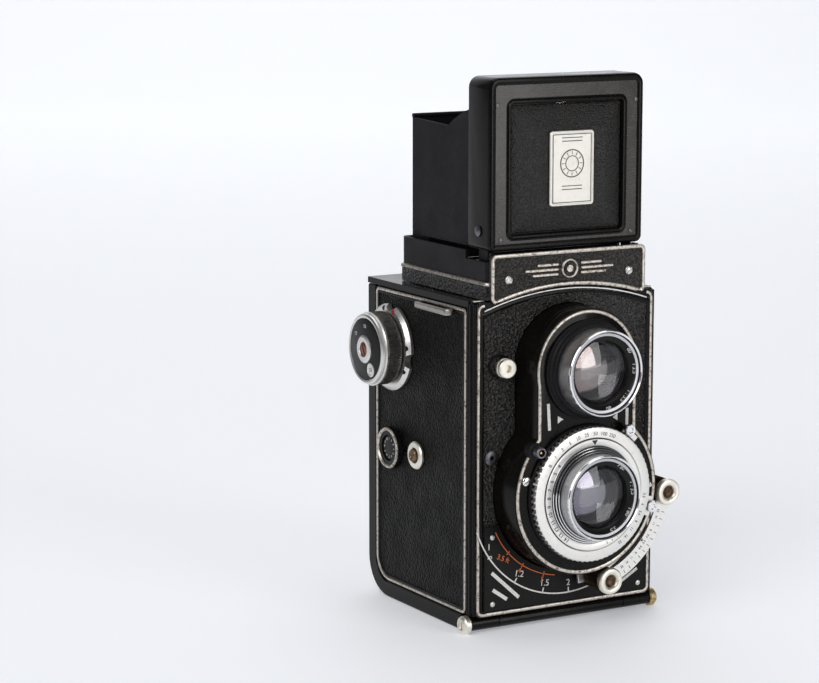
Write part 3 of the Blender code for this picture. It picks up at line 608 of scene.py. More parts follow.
def strap_lugs():
    """The bows that hold the strap, at both sides."""
    for name, sign in SIDES:
        low, high = mm_box(f"strap_lug_{name}")
        out = abs(low.x) if sign < 0 else high.x
        foot = COVER_X + 0.3
        bow = ([(foot, low.y)] + ring_points((out - 2.4, low.y + 2.4), 2.4, 270, 360, 8)
               + ring_points((out - 2.4, high.y - 2.4), 2.4, 0, 90, 8) + [(foot, high.y)])
        inner = ([(foot, high.y - 2.2)] + ring_points((out - 3.1, high.y - 3.4), 1.3, 60, 0, 5)
                 + ring_points((out - 3.1, low.y + 3.4), 1.3, 0, -60, 5) + [(foot, low.y + 2.2)])
        outline = [(sign * x, y) for x, y in bow + inner]
        shape(f"strap_bow_{name}", prism(outline, "z", low.z, high.z), LUG, nodes=[f"strap_lug_{name}"],
              bevel=0.6)


def hood_base_bead():
    """Rounded edge of the hood's base, and the short beads on the shoulders beside it."""
    low, high = mm_box("hood_base")
    edge = round_rect((low.x, low.y), (high.x, high.y), (2, 2, 2.5, 2.5))
    section = [(0.4, high.z - 1.15), (-0.25, high.z - 1.1), (-0.45, high.z - 0.6), (-0.25, high.z - 0.1),
               (0.3, high.z + 0.12), (0.6, high.z + 0.12), (0.6, high.z - 0.3)]
    shape("hood_base_trim", moulding(edge, section, "z"), TRIM)
    low, high = mm_box("body_casting")
    ends = [rod("x", (low.y + 1.0, high.z), 0.45, start, end, 20)
            for start, end in ((-37.5, -33.2), (33.2, 37.5))]
    shape("shoulder_bead", merged(ends), TRIM)


def slotted_screw(name, centre, face, radius, height, look, turn, axis="y", body="camera_body",
                  nodes=()):
    """Domed screw head with its slot, standing out towards -axis."""
    dome = [(0, face)] + [(radius, face), (radius, face - height * 0.35)]
    dome += [(radius * cos(radians(a)), face - height * (0.35 + 0.65 * sin(radians(a))))
             for a in (25, 50, 72)] + [(0, face - height)]
    a = radians(turn)
    half = 0.16 * radius
    run, side_step = Vector((cos(a), sin(a))) * radius * 1.2, Vector((-sin(a), cos(a))) * half
    outline = [tuple(Vector(centre) + v) for v in (-run - side_step, run - side_step,
                                                   run + side_step, -run + side_step)]
    slotted = cut(lathe(dome, axis, centre, 40), [prism(outline, axis, face - height * 0.45,
                                                        face - height - 1)])
    shape(name, slotted, look, body, nodes, slot="satin_steel", bevel=0.05)


def name_plate():
    """Worn border, screws and a plain raised ornament on the arched plate over the lenses."""
    low, high = PLATE_LOW, PLATE_HIGH
    rise = 5.0
    half = high.x - 0.75
    foot = low.z - 0.75
    radius = (half ** 2 + rise ** 2) / (2 * rise)
    spread = degrees(atan2(half - 1.6, radius - rise))
    arch = ring_points((0, foot + rise - radius), radius, 90 + spread, 90 - spread, 40)
    corner = 1.6
    edge = (arch + ring_points((half - corner, arch[-1][1] + corner), corner, 270, 360, 6)
            + ring_points((half - corner, high.z - 0.75 - corner), corner, 0, 90, 6)
            + ring_points((-half + corner, high.z - 0.75 - corner), corner, 90, 180, 6)
            + ring_points((-half + corner, arch[0][1] + corner), corner, 180, 270, 6))
    board = [[(x, y, z) for x, z in inset(edge, d)] for d, y in ((-0.6, high.y), (-0.6, low.y))]
    shape("name_plate_board", loft(board), PLATE_LEATHER, nodes=["name_plate"])
    section = [(d, low.y - h) for d, h in bead(1.35, -0.05, 0.42)]
    shape("name_plate_trim", moulding(edge, section, "y"), TRIM)
    for name in ("left", "right"):
        screw = f"name_plate_screw_{name}"
        slotted_screw(f"plate_screw_{name}", along_y(screw), low.y - 0.02, 1.55, 0.9, NICKEL,
                      -55 if name == "left" else 35, nodes=[screw])
    heart = (0, 129.2)
    parts = [moulding(ring_points(heart, 3.1, closed=True), [(d, low.y - h) for d, h in
                      bead(0.9, -0.05, 0.7)], "y"),
             prism(ring_points(heart, 1.25, closed=True), "y", low.y - 0.6, low.y + 0.05)]
    for sign in (-1, 1):
        for rise, reach in ((1.75, 13.5), (0.0, 18.5), (-1.75, 15.5)):
            near, far = sorted((sign * 4.7, sign * reach))
            level = heart[1] + rise
            wing = round_rect((near, level - 0.5), (far, level + 0.5), (0.49,) * 4, 5)
            parts.append(loft([[(x, y, z) for x, z in inset(wing, d)] for d, y in
                               ((0.0, low.y + 0.05), (0.0, low.y - 0.35), (0.2, low.y - 0.55))]))
    shape("name_plate_ornament", merged(parts), TRIM)


def distance_scale():
    """Distance arcs in metres and feet, depth bars and screws on the lower front plate."""
    low, high = mm_box("distance_scale_plate")
    reach = high.x
    radius = PANEL_R + 0.6
    rise = TAKING[1] - high.z
    start = 180 + degrees(atan2(rise, sqrt(radius ** 2 - rise ** 2)))
    hollow = ring_points(TAKING, radius, start, 540 - start, 72)
    outline = [(-reach, high.z)] + hollow + [(reach, high.z), (reach, low.z), (-reach, low.z)]
    shape("scale_plate_face", prism(outline, "y", low.y, high.y), FINE_PLATE,
          nodes=["distance_scale_plate"], bevel=0.12)
    face, raised = low.y + 0.02, low.y - 0.06
    white = [prism(arc_band(TAKING, 39.3, 39.8, 199, 287, 60), "y", raised, face)]
    entries = []
    for word, angle in (("1.2", 236.8), ("1.5", 255.7), ("2", 272.0)):
        white.append(tick(TAKING, angle, 37.7, 39.5, 0.5, raised, face))
        at = polar(TAKING, 36.0, angle)
        entries.append((word, 3.3, facing_front(at[0], raised, at[1], (angle - 270) * 0.35)))
    entries.append(("1", 3.3, facing_front(-32.4, raised, 31.6)))
    entries.append(("m", 2.6, facing_front(-32.0, raised, 28.0)))
    for a, b, width in (((-31.2, 22.1), (-19.8, 11.8), 1.3), ((-30.7, 15.8), (-24.8, 11.7), 1.3),
                        ((23.2, 11.3), (31.3, 16.0), 1.1)):
        white.append(bar(a, b, width, raised, face))
    white.append(letters(entries))
    shape("distance_marks_metres", merged(white), WHITE, slot="scale_plate")
    orange = [prism(arc_band(TAKING, 32.6, 32.9, 205, 262, 40), "y", raised, face)]
    entries = []
    for word, angle in (("3.5 ft", 222.0), ("4", 236.0), ("5", 253.5)):
        orange.append(tick(TAKING, angle, 31.9, 33.6, 0.4, raised, face))
        at = polar(TAKING, 34.9 if word != "3.5 ft" else 35.6, angle)
        entries.append((word, 2.7, facing_front(at[0], raised, at[1], (angle - 270) * 0.5)))
    orange.append(letters(entries))
    shape("distance_marks_feet", merged(orange), ORANGE)
    for i, (x, z, turn) in enumerate(((-31.0, 35.0, 20), (-30.8, 10.6, 75), (31.7, 10.5, 40))):
        slotted_screw(f"scale_screw_{i + 1}", (x, z), low.y, 0.95, 0.4, NICKEL, turn)


def release():
    """Shutter release: a grooved button with a recess for the finger."""
    low, high = mm_box("release_button")
    r = (high.x - low.x) / 2
    c = along_y("release_button")
    profile = [(0, high.y), (1.5, high.y), (1.5, low.y + 3.2), (r, low.y + 3.0), (r, low.y + 2.9)]
    profile += [(r, low.y + 2.1), (r * 0.84, low.y + 1.9), (r * 0.84, low.y + 1.5), (r, low.y + 1.3),
                (r, low.y + 0.35), (r - 0.35, low.y), (1.3, low.y), (1.0, low.y + 1.5), (0, low.y + 1.5)]
    shape("release_cap", lathe(profile, "y", c, 56), IVORY, "release_button", ["release_button"],
          slot="chrome_bright", bevel=0.08)
    bore = r + 0.2
    collar = [(bore, 0.3), (bore + 0.6, 0.3), (bore + 0.6, -0.4), (bore + 0.3, -0.6), (bore, -0.5)]
    shape("release_collar", lathe(collar, "y", c, 64), ENAMEL, bevel=0.08)
    socket = along_y("cable_socket")
    profile = [(0.8, -1.2), (2.0, -1.2), (2.6, -0.9), (2.6, -0.3), (1.3, -0.3), (1.3, 2.0), (0.8, 2.0)]
    shape("cable_socket_ring", lathe(profile, "y", socket, 40), SMOKED, nodes=["cable_socket"],
          bevel=0.08)


def hinge():
    """Bright caps on the door hinge, with turned shoulders."""
    for name, sign in SIDES:
        low, high = mm_box(f"hinge_end_{name}")
        c = along_x("hinge_pin")
        tip, start = (low.x, high.x) if sign < 0 else (high.x, low.x)
        cap = tip - sign * 3.0
        tube = [(1.3, start), (2.5, start), (2.5, cap), (1.3, cap)]
        shape(f"hinge_tube_{name}", lathe(tube, "x", c, 48), ENAMEL)
        profile = [(1.25, cap), (2.9, cap), (3.3, cap + sign * 0.4), (3.3, cap + sign * 2.1),
                   (2.8, cap + sign * 2.8), (2.3, tip), (1.8, tip), (1.7, tip - sign * 0.5),
                   (0, tip - sign * 0.45), (0, cap + sign * 1.2), (1.25, cap + sign * 1.2)]
        inner, outer = sorted((tip, tip - sign))
        slot = box((inner, c[0] - 0.3, c[1] - 1.5), (outer, c[0] + 0.3, c[1] + 1.5))
        shape(f"hinge_cap_{name}", cut(lathe(profile, "x", c, 64), [slot]), BRASS if sign > 0 else IVORY,
              nodes=[f"hinge_end_{name}"], slot="satin_steel", bevel=0.1)


def back():
    """Coverings, trims and latch of the back door."""
    rear = mm_box("back_door")[1].y
    skin = 0.35
    latch_gap = 4.4
    latch_low, latch_high = mm_box("back_latch")
    outline = round_rect((-34.5, 15.5), (34.5, latch_low.z - latch_gap), (3, 3, 3, 3))
    shape("door_covering_rear", prism(outline, "y", rear - 0.02, rear + skin), LEATHER, "back_door")
    section = [(d, rear + h) for d, h in bead(TRIM_W, -0.05, TRIM_H + 0.15)]
    shape("door_trim_rear", moulding(inset(outline, -0.3), section, "y"), TRIM, "back_door")
    profile = round_rect((latch_low.x, latch_low.z), (latch_high.x, latch_high.z), (3.4, 3.4, 3.4, 3.4))
    rings = [[(x, y, z) for x, z in inset(profile, d)] for d, y in
             ((0.3, latch_low.y), (0.0, latch_low.y + 0.3), (0.0, latch_high.y - 0.6),
              (0.6, latch_high.y), (1.6, latch_high.y - 0.25))]
    shape("latch_slide", loft(rings), NICKEL, "back_latch", ["back_latch"], sharp=50)
    grips = [prism([(x - 0.3, latch_low.z + 2.0), (x + 0.3, latch_low.z + 2.0),
                    (x + 0.3, latch_high.z - 2.0), (x - 0.3, latch_high.z - 2.0)], "y",
                   latch_high.y - 0.5, latch_high.y) for x in (-4, -2, 0, 2, 4)]
    shape("latch_grip", merged(grips), NICKEL, "back_latch", bevel=0.12)
    profile = [(3.15, 0.0), (4.7, 0.0), (5.0, 0.3), (5.0, 1.9), (8.0, 1.9), (8.0, 3.4), (3.15, 3.4),
               (3.15, 3.0), (3.5, 2.7), (3.15, 2.4), (3.5, 2.0), (3.15, 1.6), (3.5, 1.2), (3.15, 0.8)]
    bush = middle("tripod_bush")
    shape("tripod_bush_threaded", lathe(profile, "z", (bush.x, bush.y), 64), BRASS, "back_door",
          ["tripod_bush"], slot="satin_steel")


# ---- film transport -------------------------------------------------------------------------
def advance_knob():
    """Knurled grip with a bright double rim, black face, slotted screw and a small window."""
    c = HUB
    face = KNOB_FACE_X
    stem = [(0, -29.0), (2.3, -29.0), (2.3, -33.3), (3.8, -33.3), (3.8, face + 8.6)]
    grip = stem + [(12.9, face + 8.4), (KNOB_R - 0.3, face + 8.0), (KNOB_R, face + 7.4),
                   (KNOB_R, face + 2.8), (KNOB_R - 0.4, face + 2.3), (0, face + 2.3)]
    shape("advance_grip", lathe(grip, "x", c, 384, 0.3, (1, 1, 0, 0)), GRIP, "advance_knob",
          ["advance_knob"], sharp=25)
    rims = [lathe([(8.0, face + 2.4), (13.3, face + 2.4), (13.6, face + 2.0), (13.3, face + 1.5),
                   (8.0, face + 1.4)], "x", c, 96),
            lathe([(8.0, face + 1.5), (12.9, face + 1.5), (13.1, face + 1.0), (12.9, face + 0.4),
                   (12.2, face), (11.5, face + 0.2), (11.3, face + 0.9), (8.0, face + 0.9)], "x", c, 96)]
    shape("advance_rims", merged(rims), NICKEL, "advance_knob", slot="chrome_bright")
    disc = [(0, face + 1.0), (11.2, face + 1.0), (11.2, face + 0.35), (10.6, face + 0.1), (0, face + 0.1)]
    shape("advance_face", lathe(disc, "x", c, 96), FACE_BLACK, "advance_knob", ["advance_knob_cap"])
    hub = [(2.7, face + 0.2), (5.2, face + 0.2), (5.2, face - 0.4), (4.4, face - 0.9), (3.0, face - 0.9),
           (2.7, face - 0.6)]
    shape("advance_hub", lathe(hub, "x", c, 144, 0.25, (1, 1, 0, 0)), NICKEL, "advance_knob", sharp=25)
    slotted_screw("advance_screw", c, face + 0.2, 2.75, 0.95, COPPER, 62, "x", "advance_knob")
    eye = polar(c, 8.3, -122)
    window = [(0, face + 0.2), (2.6, face + 0.2), (2.6, face - 0.12), (2.2, face - 0.25),
              (2.0, face - 0.05), (0, face - 0.05)]
    shape("advance_window", lathe(window, "x", eye, 48), NICKEL, "advance_knob")
    shape("advance_window_number", letters([("21", 2.1, facing_left(face - 0.07, *eye, 10))]), BLACK,
          "advance_knob", slot="black_satin")
    marks = [(word, 2.0, facing_left(face + 0.08, *polar(c, 8.4, angle), 0))
             for word, angle in (("10", 88), ("17", 35))]
    shape("advance_face_numbers", letters(marks), WHITE, "advance_knob", slot="black_satin")


def advance_base():
    """Fixed film-number ring behind the knob, notched for the fingers."""
    c = HUB
    low, high = mm_box("advance_base_ring")
    r = (high.z - low.z) / 2
    profile = [(8.0, high.x), (r, high.x), (r, low.x + 1.4), (r - 0.5, low.x + 0.8), (r - 1.2, low.x),
               (8.0, low.x)]
    holes = (174, 210, 82)
    tools = [rod("x", polar(c, r + 0.9, angle), 3.0, low.x - 1, high.x + 1, 32) for angle in (98, 192)]
    tools += [rod("x", polar(c, r - 1.5, angle), 0.95, low.x - 1, low.x + 0.5, 24) for angle in holes]
    shape("film_number_ring", cut(lathe(profile, "x", c, 128), tools), NICKEL,
          nodes=["advance_base_ring"], bevel=0.08)
    black = [rod("x", polar(c, r - 1.5, angle), 0.9, low.x + 0.25, low.x + 0.6, 20) for angle in holes]
    entries = []
    for i, word in enumerate(("12", "11", "10", "9", "8", "7")):
        angle = 160 - 9 * i
        at = polar(c, r - 1.35, angle)
        entries.append((word, 1.35, facing_left(low.x - 0.03, *at, 90 - angle + 180)))
        black.append(tick(c, angle - 4.5, r - 1.9, r - 0.9, 0.12, low.x - 0.03, low.x + 0.1, "x"))
    black.append(letters(entries))
    shape("film_number_marks", merged(black), BLACK)
    index = rod("x", polar(c, r - 1.5, 110), 0.9, low.x - 0.05, low.x + 0.3, 24)
    shape("film_number_index", index, RED)


def counter():
    """Frame counter with a knurled bezel and numbered dial, and its reset button."""
    c = along_x("counter_bezel")
    low, high = mm_box("counter_bezel")
    r = (high.z - low.z) / 2
    profile = [(4.9, high.x), (r, high.x), (r, low.x + 0.9), (r - 0.2, low.x + 0.7), (4.9, low.x + 0.7)]
    shape("counter_grip", lathe(profile, "x", c, 160, 0.22), FACE_BLACK, nodes=["counter_bezel"],
          sharp=25)
    rim = [(6.4, low.x + 0.8), (r - 0.15, low.x + 0.8), (r - 0.15, low.x + 0.5), (r - 0.5, low.x),
           (6.8, low.x), (6.4, low.x + 0.5)]
    shape("counter_rim", lathe(rim, "x", c, 160, 0.22), TRIM, sharp=25)
    dial_x = mm_box("counter_dial")[0].x
    profile = [(0, dial_x + 6.2), (2.0, dial_x + 6.2), (2.0, dial_x + 1.4), (4.5, dial_x + 1.4),
               (4.5, dial_x + 0.1), (4.2, dial_x), (0, dial_x)]
    shape("counter_disc", lathe(profile, "x", c, 72), FACE_BLACK, "counter_dial", ["counter_dial"])
    entries = []
    for i in range(12):
        angle = 90 + 30 * i
        entries.append((str(i + 1), 1.15, facing_left(dial_x - 0.03, *polar(c, 3.4, angle), 90 - angle)))
    shape("counter_numbers", letters(entries), WHITE, "counter_dial", slot="black_satin")
    b = along_x("counter_button")
    low, high = mm_box("counter_button_bezel")
    r = (high.z - low.z) / 2
    profile = [(2.75, high.x), (r, high.x), (r, low.x + 0.6), (r - 0.4, low.x + 0.12), (3.0, low.x),
               (2.75, low.x + 0.25)]
    shape("button_rim", lathe(profile, "x", b, 128), IVORY, nodes=["counter_button_bezel"],
          slot="chrome_bright")
    low, high = mm_box("counter_button")
    profile = [(0, high.x), (1.6, high.x), (1.6, low.x + 2.0), (2.4, low.x + 2.0), (2.4, low.x + 0.5),
               (2.1, low.x + 0.1), (1.4, low.x), (1.0, low.x + 0.5), (0, low.x + 0.6)]
    shape("button_core", lathe(profile, "x", b, 56), OLD_BRASS, "counter_button", ["counter_button"])


def spool_knobs():
    """Knurled knobs that hold the film spools, and their washers."""
    for name in ("upper", "lower"):
        low, high = mm_box(f"spool_knob_{name}")
        c = along_x(f"spool_knob_{name}")
        r = (high.z - low.z) / 2
        profile = [(0, low.x), (2.0, low.x), (2.2, low.x + 0.4), (2.2, 38.8), (r - 0.3, 38.8), (r, 39.3),
                   (r, high.x - 1.1), (r - 0.5, high.x - 0.6), (r - 1.4, high.x), (3.0, high.x - 0.2),
                   (2.4, high.x - 0.7), (0, high.x - 0.7)]
        shape(f"spool_grip_{name}", lathe(profile, "x", c, 144, 0.2), NICKEL, f"spool_knob_{name}",
              [f"spool_knob_{name}"], sharp=25)
        washer = [(2.6, COVER_X), (5.2, COVER_X), (5.2, COVER_X + 0.2), (2.6, COVER_X + 0.2)]
        shape(f"spool_washer_{name}", lathe(washer, "x", c, 48), CHROME)


# ---- lenses ---------------------------------------------------------------------------------
def figure_eight():
    """The lens panel's outline in (x, z): two circles joined by a straight neck."""
    lift = degrees(atan2(sqrt(PANEL_R ** 2 - PANEL_NECK ** 2), PANEL_NECK))
    rise = degrees(atan2(sqrt(PANEL_R_TOP ** 2 - PANEL_NECK ** 2), PANEL_NECK))
    return (ring_points(TAKING, PANEL_R, 180 - lift, 360 + lift, 64)
            + ring_points(VIEWING, PANEL_R_TOP, -rise, 180 + rise, 64))


def lens_panel():
    """The board that carries both lenses, with its trim, marks and screw."""
    outline = figure_eight()
    rear = mm_box("lens_panel")[1].y
    skin = 1.5
    rings = [[(x, y, z) for x, z in inset(outline, d)] for d, y in
             ((skin, PANEL_Y + 1.6), (skin, rear), (0, rear), (0, PANEL_Y + 0.5), (0.15, PANEL_Y + 0.15),
              (0.5, PANEL_Y))]
    tools = [rod("y", TAKING, 14.0, PANEL_Y - 2, PANEL_Y + 4, 96),
             rod("y", VIEWING, 13.2, PANEL_Y - 2, PANEL_Y + 4, 96)]
    shape("lens_board", cut(loft(rings), tools), ENAMEL, "lens_panel", ["lens_panel"])
    section = [(d, PANEL_Y - h) for d, h in bead(1.3, -0.1, 0.4)]
    shape("lens_board_trim", moulding(inset(outline, 1.15), section, "y"), TRIM, "lens_panel")
    face, raised = PANEL_Y + 0.02, PANEL_Y - 0.08
    marks = [bar((-16.4, 84.0), (-15.8, 74.4), 1.2, raised, face),
             bar((16.9, 79.4), (16.9, 73.4), 1.2, raised, face),
             prism([(-12.4, 79.2), (-12.4, 76.6), (-10.1, 77.9)], "y", raised, face),
             prism([(12.8, 77.9), (12.8, 75.3), (10.8, 76.6)], "y", raised, face),
             prism([(26.6, 49.4), (28.6, 49.6), (27.4, 51.4)], "y", raised, face)]
    shape("lens_board_marks", merged(marks), WHITE, "lens_panel", slot="black_enamel")
    slotted_screw("board_screw", (-25.2, 57.2), PANEL_Y, 1.75, 0.8, CHROME, 30, body="lens_panel")


def barrel(name, centre, base, foot):
    """Front barrel with a bright rim and the numbered cone inside it."""
    shape(f"{name}_base", lathe(base, "y", centre, 128), SATIN, "lens_panel", [f"{name}_barrel"])
    tube = [(13.2, RIM_Y + 1.2), (13.2, foot), (RIM_R + 0.1, foot), (RIM_R + 0.1, RIM_Y + 1.0)]
    shape(f"{name}_sleeve", lathe(tube, "y", centre, 128), SLEEVE, "lens_panel")
    rim = [(14.4, RIM_Y + 1.1), (RIM_R + 0.15, RIM_Y + 1.1), (RIM_R + 0.15, RIM_Y + 0.35),
           (RIM_R - 0.1, RIM_Y), (14.75, RIM_Y), (14.5, RIM_Y + 0.25)]
    shape(f"{name}_rim", lathe(rim, "y", centre, 128), CHROME, "lens_panel")
    steps = [(14.6, RIM_Y + 0.6), (14.6, RIM_Y + 4.2), (12.3, RIM_Y + 5.4), (11.4, RIM_Y + 5.4),
             (11.4, RIM_Y + 3.1), (11.9, RIM_Y + 2.9), (14.1, RIM_Y + 1.2), (14.3, RIM_Y + 0.6)]
    shape(f"{name}_cone", lathe(steps, "y", centre, 128), FACE_BLACK, "lens_panel")


def cone_numbers(name, centre, words):
    """White numbers and index dots on the cone round a lens."""
    entries = []
    for word, angle in words:
        x, z = polar(centre, 12.85, angle)
        tilt = Matrix.Rotation(radians(38), 4, "X")
        entries.append((word, 2.1, facing_front(x, RIM_Y + 1.85, z, angle - 90) @ tilt))
    shape(name, letters(entries), WHITE, "lens_panel", slot="black_satin")


def glass(name, node, centre, coating, depth, blades=0):
    """Front element, the coated element behind it, ridged tube and, at the back, blades."""
    low, high = mm_box(node)
    r = (high.x - low.x) / 2 - 0.3
    bulge = 1.8
    sphere = (r ** 2 + bulge ** 2) / (2 * bulge)
    half = atan2(r, sphere - bulge)
    face = [(sphere * sin(half * i / 14), low.y + sphere * (1 - cos(half * i / 14))) for i in range(15)]
    back = [(r * (1 - i / 8), low.y + 3.1 + 0.9 * (i / 8) ** 0.5) for i in range(8)]
    shape(f"{name}_front_element", lathe(face + back + [(0, low.y + 4.0)], "y", centre, 96), GLASS,
          "lens_panel", [node], sharp=70)
    inner_r = 8.9
    deep = low.y + 4.6
    flat = inner_r ** 2 / (2 * 14.0)
    dome = [(inner_r * i / 12, deep + flat * (i / 12) ** 2) for i in range(13)]
    shape(f"{name}_coated_element",
          lathe(dome + [(inner_r, deep + flat + 0.5), (0, deep + flat + 0.5)], "y", centre, 96), coating,
          "lens_panel", slot="lens_glass", sharp=70)
    rings = []
    for i in range(4):
        y = low.y + 3.0 + depth * i
        rings.append(lathe([(11.35, y), (10.9 - 0.55 * i, y), (10.9 - 0.55 * i, y + depth * 0.7),
                            (10.4 - 0.55 * i, y + depth * 0.7), (10.4 - 0.55 * i, y + depth),
                            (11.35, y + depth)], "y", centre, 96))
    shape(f"{name}_ridged_tube", merged(rings), FACE_BLACK, "lens_panel")
    if blades:
        leaves = []
        for i in range(blades):
            turn = 360 / blades * i
            leaf = [polar(centre, 8.8, turn + a) for a in range(0, 121, 12)]
            leaf += [polar(centre, 3.4, turn + 120), polar(centre, 3.4, turn + 36)]
            leaves.append(prism(leaf, "y", deep + flat + 0.6 + 0.12 * i, deep + flat + 0.7 + 0.12 * i))
        shape(f"{name}_iris_blades", merged(leaves), SMOKED, "lens_panel")


def lenses():
    """Both barrels, the engraved plate and rings round the taking lens, and the glass in each."""
    stepped = [(12.0, -6.0), (12.9, -6.0), (12.9, -14.2), (17.6, -14.2), (17.8, -14.5), (17.8, -15.2),
               (17.2, -15.5), (17.2, -16.0), (16.6, -16.6), (16.4, -17.8), (16.1, -18.1), (RIM_R, -18.2),
               (RIM_R - 0.6, -19.4), (12.6, -19.4), (12.0, -18.6)]
    barrel("viewing", VIEWING, stepped, -18.2)
    barrel("taking", TAKING, [(12.0, -18.2), (15.8, -18.2), (15.8, -19.6), (12.0, -19.6)], -19.4)
    plate = [(17.6, -18.3), (20.0, -18.3), (20.1, -18.5), (19.9, -18.72), (17.9, -18.85), (17.6, -18.7)]
    shape("taking_front_plate", lathe(plate, "y", TAKING, 144), DIAL, "lens_panel")
    grooves = [(15.1, -18.2), (17.7, -18.2), (17.7, -18.6), (16.9, -18.9), (16.1, -19.5), (15.1, -19.5)]
    shape("taking_grooves", lathe(grooves, "y", TAKING, 144), FACE_BLACK, "lens_panel")
    rings = [lathe([(inner, -18.4), (inner + 0.42, -18.4), (inner + 0.42, top + 0.15),
                    (inner + 0.21, top), (inner, top + 0.15)], "y", TAKING, 144)
             for inner, top in ((16.95, -19.25), (16.2, -19.95), (15.45, -20.5))]
    shape("taking_bright_rings", merged(rings), CHROME, "lens_panel")
    face, raised = -18.7, -18.86
    index = [polar(TAKING, 19.7, 86), polar(TAKING, 19.7, 93), polar(TAKING, 18.0, 89.5)]
    black = [prism(index, "y", raised, face)]
    black += [tick(TAKING, a, 18.4, 19.3, 0.26, raised + 0.02, face) for a in range(288, 345, 7)]
    black.append(letters(round_dial([str(n) for n in range(4, 15)], TAKING, 18.75, raised + 0.01, 2.1,
                                    141, 9.2)))
    shape("taking_plate_marks", merged(black), BLACK, "lens_panel")
    glass("viewing", "viewing_lens", VIEWING, AMBER, 0.9)
    glass("taking", "taking_lens", TAKING, VIOLET, 0.75, blades=5)
    cone_numbers("viewing_numbers", VIEWING, [("80", 34), ("f 3.5", 2), ("1 : 3.5", -44), ("80", -80),
                                              ("f 3.5", 182)])
    cone_numbers("taking_numbers", TAKING, [("f 80", 52), ("1 : 3.5", 10), ("f 80", -30), ("3.5", -68),
                                            ("80", 186)])


def shutter():
    """Shutter housing, serrated speed ring with its numbers, levers and flash socket."""
    c = TAKING
    housing = [(11.2, 2.0), (13.6, 2.0), (13.6, -14.2), (24.6, -14.2), (24.8, -14.5), (24.8, -15.2),
               (24.4, -15.6), (20.1, -15.6), (20.1, -17.9), (11.2, -17.9)]
    shape("shutter_case", lathe(housing, "y", c, 144), SATIN, "lens_panel", ["shutter_housing"])
    low, high = mm_box("speed_ring")
    teeth = [(20.3, high.y), (RING_R, high.y), (RING_R, low.y + 0.5), (RING_R - 0.35, low.y + 0.12),
             (RING_R - 0.9, low.y), (20.6, low.y), (20.3, low.y + 0.2)]
    shape("speed_ring_serrated", lathe(teeth, "y", c, 288, 0.8, (1, 1, 0, 0)), DIAL, "speed_ring",
          ["speed_ring"], sharp=25)
    words = ("B", "1", "2", "5", "10", "25", "50", "100", "250")
    entries = round_dial(words, TAKING, 21.9, low.y - 0.03, 1.9, 146, -9.6)
    entries += round_dial(("22", "16", "11", "8", "5.6", "4", "3.5"), TAKING, 21.9, low.y - 0.03, 1.5,
                          -58, 8.5)
    shape("speed_numbers", letters(entries), BLACK, "speed_ring")
    for name, body, start, end, knob in (("aperture", "aperture_lever", -24, -8, -15.9),
                                         ("cocking", "cocking_lever", 43, 58, 54)):
        arm = arc_band(c, 24.9, 27.0, start, end, 12)
        at = polar(c, 26.6, knob)
        profile = [(0, -15.95), (1.9, -15.95), (1.9, -16.9), (2.15, -17.1), (2.15, -18.3), (1.8, -18.7),
                   (1.1, -18.7), (0.8, -18.3), (0, -18.3)]
        shape(f"{name}_arm", prism(arm, "y", -17.0, -15.9), NICKEL, body, bevel=0.15)
        shape(f"{name}_grip", lathe(profile, "y", at, 64, 0.18), CHROME, body, [f"{name}_lever"],
              slot="satin_steel", sharp=30)
    socket = along_y("sync_socket")
    base = [(0, -14.2), (3.0, -14.2), (3.0, -17.2), (2.6, -17.7), (0, -17.7)]
    shape("sync_socket_base", lathe(base, "y", socket, 48), SATIN, "lens_panel", ["sync_socket"])
    sleeve = [(1.3, -17.6), (2.0, -17.6), (2.0, -20.6), (1.7, -21.0), (1.3, -21.0)]
    pin = [(0, -17.6), (0.45, -17.6), (0.45, -20.5), (0, -20.7)]
    shape("sync_socket_sleeve", lathe(sleeve, "y", socket, 48), SMOKED, "lens_panel")
    shape("sync_socket_pin", lathe(pin, "y", socket, 24), BRASS, "lens_panel", slot="brass_worn")


